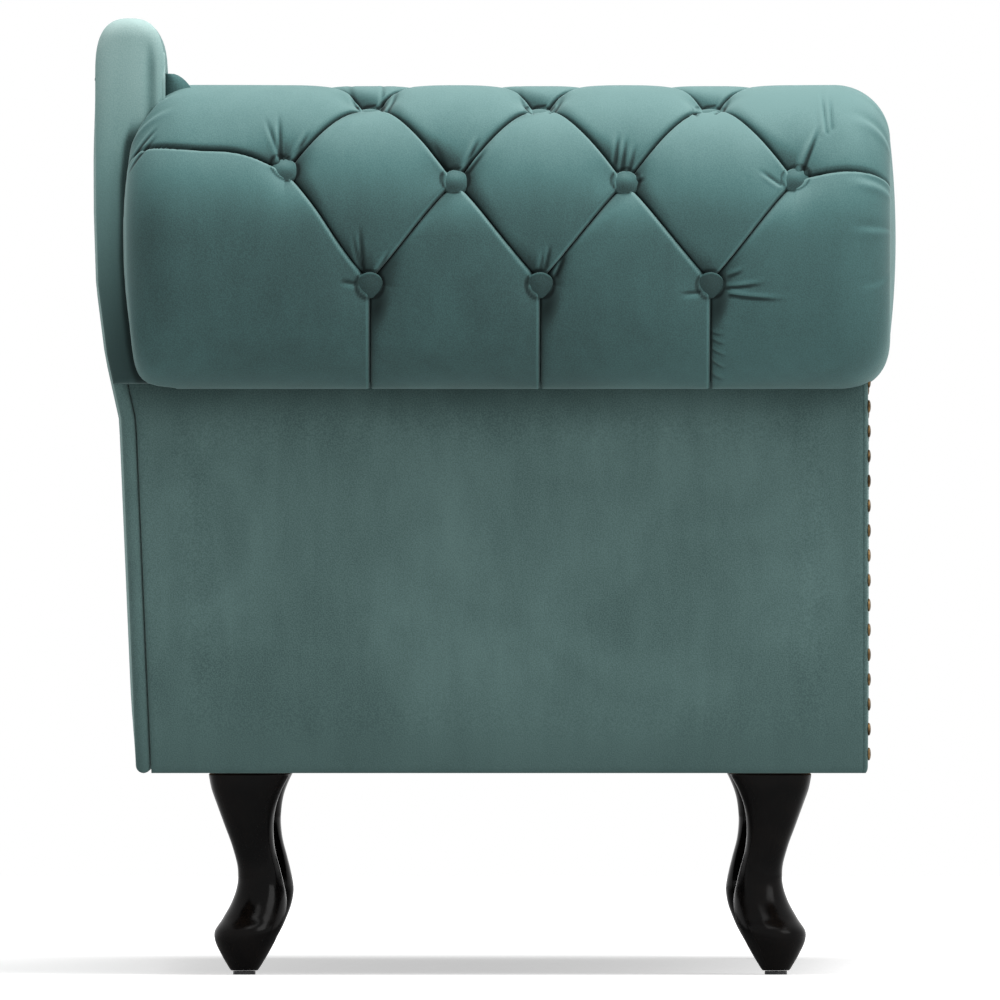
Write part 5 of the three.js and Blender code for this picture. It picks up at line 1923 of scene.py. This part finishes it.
@dataclass(frozen=True)
class Finish:
    """A finish: one material with its nodes."""

    name: str

    def material(self, effects: SharedEffects) -> Material:
        """Makes the material.

        Args:
            effects: The shared groups.

        Returns:
            The material.
        """
        material = bpy.data.materials.new(self.name)
        material.use_nodes = True
        nodes = Nodes(material.node_tree)
        shader = material.node_tree.nodes["Principled BSDF"]
        coordinates = nodes.add("ShaderNodeTexCoord").outputs["Object"]
        self.dress(nodes, shader, coordinates, effects)
        return material

    def dress(self, nodes: Nodes, shader: Node, place: Socket, effects: SharedEffects) -> None:
        """Wires the finish. Each finish has its own."""
        raise NotImplementedError

    @staticmethod
    def use(nodes: Nodes, group: bpy.types.NodeTree, place: Socket, **values: float) -> Node:
        """Puts a shared group into a material, with this finish's own values."""
        node = nodes.add("ShaderNodeGroup", node_tree=group)
        nodes.link(place, node.inputs["Vector"])
        nodes.put(node, **values)
        return node

    @staticmethod
    def bump(nodes: Nodes, shader: Node, height: Socket, strength: float, distance: float) -> None:
        """Lets a height roughen the surface."""
        node = nodes.add("ShaderNodeBump")
        nodes.put(node, Strength=strength, Distance=distance)
        nodes.link(height, node.inputs["Height"])
        nodes.link(node.outputs["Normal"], shader.inputs["Normal"])


@dataclass(frozen=True)
class VelvetFinish(Finish):
    """Short dense pile in three shades, with painted light on faces that look up, painted shade in folds and
    painted highlights on lapping edges.
    """

    deep: Triple = (0.037, 0.068, 0.067)
    middle: Triple = (0.077, 0.168, 0.166)
    pale: Triple = (0.160, 0.278, 0.272)
    nap: float = 0.32
    # Painted light: how much paler faces are as their normal turns up, from one Z of the normal to another
    painted_top_light: float = 0.78
    painted_top_light_from: float = -0.02
    painted_top_light_to: float = 0.98
    # How strongly the painted shading counts, how dark the painted shade in folds is, and the heights of a
    # painted shade that darkens towards the bottom
    painted_shading: float = 0.50
    painted_fold_shade_share: float = 0.16
    fade: tuple[float, float] | None = None
    sheen: float = 0.45

    def dress(self, nodes: Nodes, shader: Node, place: Socket, effects: SharedEffects) -> None:
        """Runs through the three shades by the nap, by painted light on faces that look up and by the painted
        shading.

        With a fade, the paler shades also die away from its upper height to its lower one: a painted shade,
        darker towards the bottom.
        """
        nap = self.use(nodes, effects.nap, place, Patch_Scale=8.0, Speckle_Scale=950.0)
        facing = nodes.add("ShaderNodeSeparateXYZ")
        nodes.link(nodes.add("ShaderNodeNewGeometry").outputs["Normal"], facing.inputs[0])
        # Painted light: paler where the normal looks up
        painted_top_light_share = nodes.ramp(facing.outputs["Z"], self.painted_top_light_from, self.painted_top_light_to)
        lift = nodes.math("MULTIPLY", painted_top_light_share, self.painted_top_light)
        shade = nodes.math("ADD", nodes.math("MULTIPLY", nap.outputs["Shade"], self.nap), lift)
        # Painted shade and highlight from the points' attribute
        painted_shading = nodes.add("ShaderNodeAttribute", attribute_type="GEOMETRY", attribute_name="painted_shade_highlight")
        shade = nodes.math("ADD", shade, nodes.math("MULTIPLY", painted_shading.outputs["Fac"], self.painted_shading), clamp=True)
        # Painted shade, darker towards the bottom
        if self.fade:
            height = nodes.add("ShaderNodeSeparateXYZ")
            nodes.link(place, height.inputs[0])
            shade = nodes.math("MULTIPLY", shade, nodes.ramp(height.outputs["Z"], *self.fade))
        shades = nodes.add("ShaderNodeValToRGB")
        shades.color_ramp.elements.new(0.5)
        for element, colour in zip(shades.color_ramp.elements, (self.deep, self.middle, self.pale)):
            element.color = (*colour, 1.0)
        nodes.link(shade, shades.inputs[0])
        colour = shades.outputs["Color"]
        # Painted shade in folds: the colour is mixed towards a dark fold colour
        painted_fold_shading = nodes.math("MULTIPLY", painted_shading.outputs["Fac"], -0.85, clamp=True)
        fold = tuple(self.painted_fold_shade_share * c for c in self.deep)
        nodes.link(nodes.mix(painted_fold_shading, colour, fold), shader.inputs["Base Color"])
        nodes.link(nodes.scaled(nap.outputs["Shade"], 0.12, 0.80), shader.inputs["Roughness"])
        nodes.put(shader, Sheen_Weight=self.sheen, Sheen_Roughness=0.38, Sheen_Tint=(0.66, 0.90, 0.88, 1),
                  Specular_IOR_Level=0.10)
        self.bump(nodes, shader, nap.outputs["Height"], 0.35, 0.0005)


@dataclass(frozen=True)
class LacquerFinish(Finish):
    """Black gloss lacquer over carved wood, a little worn and uneven."""

    def dress(self, nodes: Nodes, shader: Node, place: Socket, effects: SharedEffects) -> None:
        """Near black with brown where it is rubbed, glossy with soft clouds."""
        wear = self.use(nodes, effects.patina, place, Scale=26.0)
        nodes.link(nodes.mix(nodes.math("MULTIPLY", wear.outputs["Mask"], 0.5), (0.0022, 0.0021, 0.0022),
                             (0.007, 0.0055, 0.005)), shader.inputs["Base Color"])
        nodes.link(nodes.scaled(wear.outputs["Mask"], 0.10, 0.14), shader.inputs["Roughness"])
        nodes.put(shader, Specular_IOR_Level=0.08)
        self.bump(nodes, shader, wear.outputs["Fine"], 0.06, 0.0004)


@dataclass(frozen=True)
class MetalFinish(Finish):
    """A metal with a darker film in clouds over it."""

    bright: Triple = (0.24, 0.15, 0.068)
    film: Triple = (0.065, 0.040, 0.020)
    roughness: float = 0.30
    scale: float = 70.0

    def dress(self, nodes: Nodes, shader: Node, place: Socket, effects: SharedEffects) -> None:
        """Mixes bright metal and film, rougher under the film."""
        wear = self.use(nodes, effects.patina, place, Scale=self.scale)
        nodes.link(nodes.mix(wear.outputs["Mask"], self.bright, self.film), shader.inputs["Base Color"])
        nodes.link(nodes.scaled(wear.outputs["Mask"], 0.25, self.roughness), shader.inputs["Roughness"])
        nodes.put(shader, Metallic=1.0)
        self.bump(nodes, shader, wear.outputs["Fine"], 0.10, 0.0003)


@dataclass(frozen=True)
class TimberFinish(Finish):
    """Sawn hardwood with its grain along the couch."""

    early: Triple = (0.46, 0.29, 0.15)
    late: Triple = (0.25, 0.135, 0.06)

    def dress(self, nodes: Nodes, shader: Node, place: Socket, effects: SharedEffects) -> None:
        """Stretched noise makes the rings and finer stretched noise the pores."""
        rings = nodes.noise(nodes.stretch(place, (2, 16, 16)), 3.2, 5.0, 1.4)
        pores = nodes.noise(nodes.stretch(place, (30, 500, 500)), 2.0, 2.0)
        colour = nodes.mix(nodes.ramp(rings, 0.36, 0.64), self.late, self.early)
        nodes.link(nodes.mix(nodes.math("MULTIPLY", nodes.ramp(pores, 0.5, 0.75), 0.45), colour, self.late),
                   shader.inputs["Base Color"])
        nodes.put(shader, Roughness=0.7)
        self.bump(nodes, shader, pores, 0.25, 0.0005)


@dataclass(frozen=True)
class WovenFinish(Finish):
    """A plain woven cloth: jute webbing or black lining."""

    light: Triple = (0.36, 0.26, 0.14)
    dark: Triple = (0.16, 0.105, 0.05)
    thread_scale: float = 90.0
    depth: float = 0.0008

    def dress(self, nodes: Nodes, shader: Node, place: Socket, effects: SharedEffects) -> None:
        """Dark between the threads, with fuzz on them."""
        weave = self.use(nodes, effects.weave, place, Thread_Scale=self.thread_scale)
        level = nodes.math("MULTIPLY", weave.outputs["Height"], nodes.ramp(weave.outputs["Fuzz"], 0.2, 0.7))
        nodes.link(nodes.mix(level, self.dark, self.light), shader.inputs["Base Color"])
        nodes.put(shader, Roughness=0.92)
        self.bump(nodes, shader, level, 0.6, self.depth)


@dataclass(frozen=True)
class CellularFinish(Finish):
    """Foam or moulded plastic: a fine grain of cells."""

    light: Triple = (0.78, 0.68, 0.42)
    dark: Triple = (0.55, 0.45, 0.24)
    cells: float = 380.0
    roughness: float = 0.95
    depth: float = 0.001

    def dress(self, nodes: Nodes, shader: Node, place: Socket, effects: SharedEffects) -> None:
        """Small cells, a little darker inside, with broad yellowing."""
        cells = nodes.add("ShaderNodeTexVoronoi")
        nodes.link(place, cells.inputs["Vector"])
        nodes.put(cells, Scale=self.cells)
        patches = nodes.noise(place, 7.0, 3.0)
        level = nodes.math("ADD", nodes.math("MULTIPLY", cells.outputs["Distance"], 0.6),
                           nodes.math("MULTIPLY", patches, 0.5), clamp=True)
        nodes.link(nodes.mix(level, self.light, self.dark), shader.inputs["Base Color"])
        nodes.put(shader, Roughness=self.roughness)
        self.bump(nodes, shader, cells.outputs["Distance"], 0.4, self.depth)


# The studio


@dataclass(frozen=True)
class Lamp:
    """A square soft lamp, hung at a place and aimed at another."""

    name: str
    watts: float
    size: float
    place: Triple
    aim: Triple

    def build(self) -> None:
        """Hangs the lamp."""
        data = bpy.data.lights.new(self.name, "AREA")
        data.energy, data.size = self.watts, self.size
        lamp = bpy.data.objects.new(self.name, data)
        lamp.location = self.place
        lamp.rotation_euler = (Vector(self.aim) - Vector(self.place)).to_track_quat("-Z", "Y").to_euler()
        bpy.context.scene.collection.objects.link(lamp)


# One wide lamp overhead and one soft lamp on the camera's side
LAMPS = (
    Lamp("overhead_lamp", 74.0, 2.6, (-0.9, -0.3, 2.9), (-0.35, 0, 0.3)),
    Lamp("end_lamp", 44.0, 1.8, (-2.75, -2.5, 2.2), (-0.6, 0, 0.35)),
)


@dataclass
class Studio:
    """A pale floor, soft lamps and the camera of the photograph: far off, square to the head end."""

    centre_y: float = -0.0036
    centre_z: float = 0.383
    metres_a_pixel: float = 0.0008054
    picture_pixels: int = 1000
    sensor_mm: float = 36.0
    distance: float = 37.0
    ambient: float = 0.46
    floor_reach: float = 9.0
    white_from: float = 1.1
    white_to: float = 2.4
    sizes: CouchSizes = SIZES

    def camera(self) -> None:
        """Aims a long lens along +X, so that one pixel at the end panel is as wide as in the photograph."""
        data = bpy.data.cameras.new("photo_camera")
        width = self.metres_a_pixel * self.picture_pixels
        data.sensor_width = self.sensor_mm
        data.lens = self.sensor_mm * self.distance / width
        data.clip_end = 1000
        camera = bpy.data.objects.new("photo_camera", data)
        camera.location = (self.sizes.x_panel - self.distance, self.centre_y, self.centre_z)
        camera.rotation_euler = (math.radians(90), 0, math.radians(-90))
        bpy.context.scene.collection.objects.link(camera)
        bpy.context.scene.camera = camera

    def world(self) -> None:
        """White where it is looked at or mirrored, and plain soft light elsewhere."""
        world = bpy.data.worlds.new("studio")
        world.use_nodes = True
        bpy.context.scene.world = world
        nodes = Nodes(world.node_tree)
        background = world.node_tree.nodes["Background"]
        rays = nodes.add("ShaderNodeLightPath").outputs
        seen = nodes.math("MAXIMUM", rays["Is Camera Ray"],
                          nodes.math("MAXIMUM", rays["Is Glossy Ray"], rays["Is Transmission Ray"]))
        strength = nodes.scaled(seen, 1 - self.ambient, self.ambient)
        nodes.put(background, Color=(1, 1, 1, 1))
        nodes.link(strength, background.inputs["Strength"])

    def floor(self) -> None:
        """A pale floor that keeps the couch's shadow and turns plain white away from it."""
        reach = self.floor_reach
        mesh = bpy.data.meshes.new("studio_floor")
        mesh.from_pydata([(-reach, -reach, 0), (reach, -reach, 0), (reach, reach, 0), (-reach, reach, 0)], [],
                         [(0, 1, 2, 3)])
        floor = bpy.data.objects.new("studio_floor", mesh)
        bpy.context.scene.collection.objects.link(floor)
        material = bpy.data.materials.new("floor_white")
        material.use_nodes = True
        mesh.materials.append(material)
        nodes = Nodes(material.node_tree)
        shader = material.node_tree.nodes["Principled BSDF"]
        nodes.put(shader, Base_Color=(0.8, 0.8, 0.8, 1), Roughness=0.9, Specular_IOR_Level=0.0)
        place = nodes.add("ShaderNodeVectorMath", operation="LENGTH")
        nodes.link(nodes.add("ShaderNodeTexCoord").outputs["Object"], place.inputs[0])
        far = nodes.ramp(place.outputs["Value"], self.white_from, self.white_to)
        camera_ray = nodes.add("ShaderNodeLightPath").outputs["Is Camera Ray"]
        glow = nodes.scaled(far, 0.5, 0.5)
        nodes.link(nodes.math("MULTIPLY", glow, camera_ray), shader.inputs["Emission Strength"])
        nodes.put(shader, Emission_Color=(1, 1, 1, 1))

    def build(self) -> None:
        """Sets up the whole studio."""
        self.camera()
        for lamp in LAMPS:
            lamp.build()
        self.world()
        self.floor()
        bpy.context.scene.view_settings.view_transform = "Standard"


# The couch


def finish_nodes(materials: dict[Slot, Material]) -> None:
    """Gives the CAD nodes that stay in sight their finishes.

    Args:
        materials: The material of each slot.
    """
    beginnings = {
        Slot.TIMBER: ("front_rail", "rear_rail", "head_rail", "centre_rail", "foot_rail", "corner_block",
                      "arm_", "back_post", "back_top_rail"),
        Slot.WEBBING: ("webbing_strap",), Slot.FOAM: ("seat_foam",), Slot.LINING: ("dust_cover",),
        Slot.STEEL: ("leg_plate", "leg_bolt"), Slot.NYLON: ("glide",),
    }
    for name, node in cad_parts.items():
        if node.hide_render:
            continue
        for slot, starts in beginnings.items():
            if name.startswith(starts):
                node.data.materials.clear()
                node.data.materials.append(materials[slot])
                log.info("%s: finished as %s", name, slot.value)


def main() -> None:
    """Builds the studio, the materials and every part of the couch, in order."""
    logging.basicConfig(level=logging.INFO, format="%(message)s")
    Studio().build()
    effects = SharedEffects()
    velvet = VelvetFinish("teal_velvet").material(effects)
    # Lit and shaded copies of the velvet: the crest's is paler with painted light, the back end's paler with
    # painted light and darker towards the bottom with painted shade, the base's darker towards the floor with
    # painted shade
    crest_velvet_painted_light = VelvetFinish("teal_velvet_crest_painted_light", deep=(0.070, 0.132, 0.130), middle=(0.150, 0.258, 0.252),
                                pale=(0.300, 0.440, 0.428), nap=0.26, painted_top_light=0.75).material(effects)
    end_velvet_painted_light_shade = VelvetFinish("teal_velvet_end_painted_light_shade", deep=(0.032, 0.058, 0.057), middle=(0.165, 0.300, 0.290),
                              pale=(0.420, 0.570, 0.550), nap=0.20, painted_top_light=0.95, painted_top_light_from=-1.4,
                              fade=(0.47, 0.755)).material(effects)
    base_velvet_painted_shade = VelvetFinish("teal_velvet_base_painted_shade", deep=(0.049, 0.089, 0.086), middle=(0.099, 0.168, 0.161),
                               pale=(0.150, 0.236, 0.227), nap=0.62, painted_top_light=0.5,
                               fade=(0.09, 0.27)).material(effects)
    slots = {
        Slot.TIMBER: TimberFinish("frame_hardwood").material(effects),
        Slot.WEBBING: WovenFinish("jute_webbing").material(effects),
        Slot.FOAM: CellularFinish("seat_foam_cells").material(effects),
        Slot.LINING: WovenFinish("black_lining", (0.020, 0.020, 0.022), (0.006, 0.006, 0.007), 260.0,
                                 0.0003).material(effects),
        Slot.STEEL: MetalFinish("zinc_steel", (0.58, 0.60, 0.62), (0.33, 0.34, 0.36), 0.32,
                                45.0).material(effects),
        Slot.NYLON: CellularFinish("glide_nylon", (0.030, 0.030, 0.032), (0.016, 0.016, 0.017), 900.0, 0.5,
                                   0.0002).material(effects),
    }
    lacquer = LacquerFinish("black_lacquer").material(effects)
    brass = MetalFinish("antique_brass").material(effects)
    HeadRoll().build(velvet)
    InsideArm().build(velvet)
    InsideBack().build(velvet)
    CrestBorder().build(crest_velvet_painted_light)
    BackEnd().build(end_velvet_painted_light_shade)
    Covers().build(base_velvet_painted_shade)
    SeatCushion().build(velvet)
    CabrioleLegs().build(lacquer)
    NailTrim().build(brass)
    finish_nodes(slots)


if __name__ == "__main__":
    main()
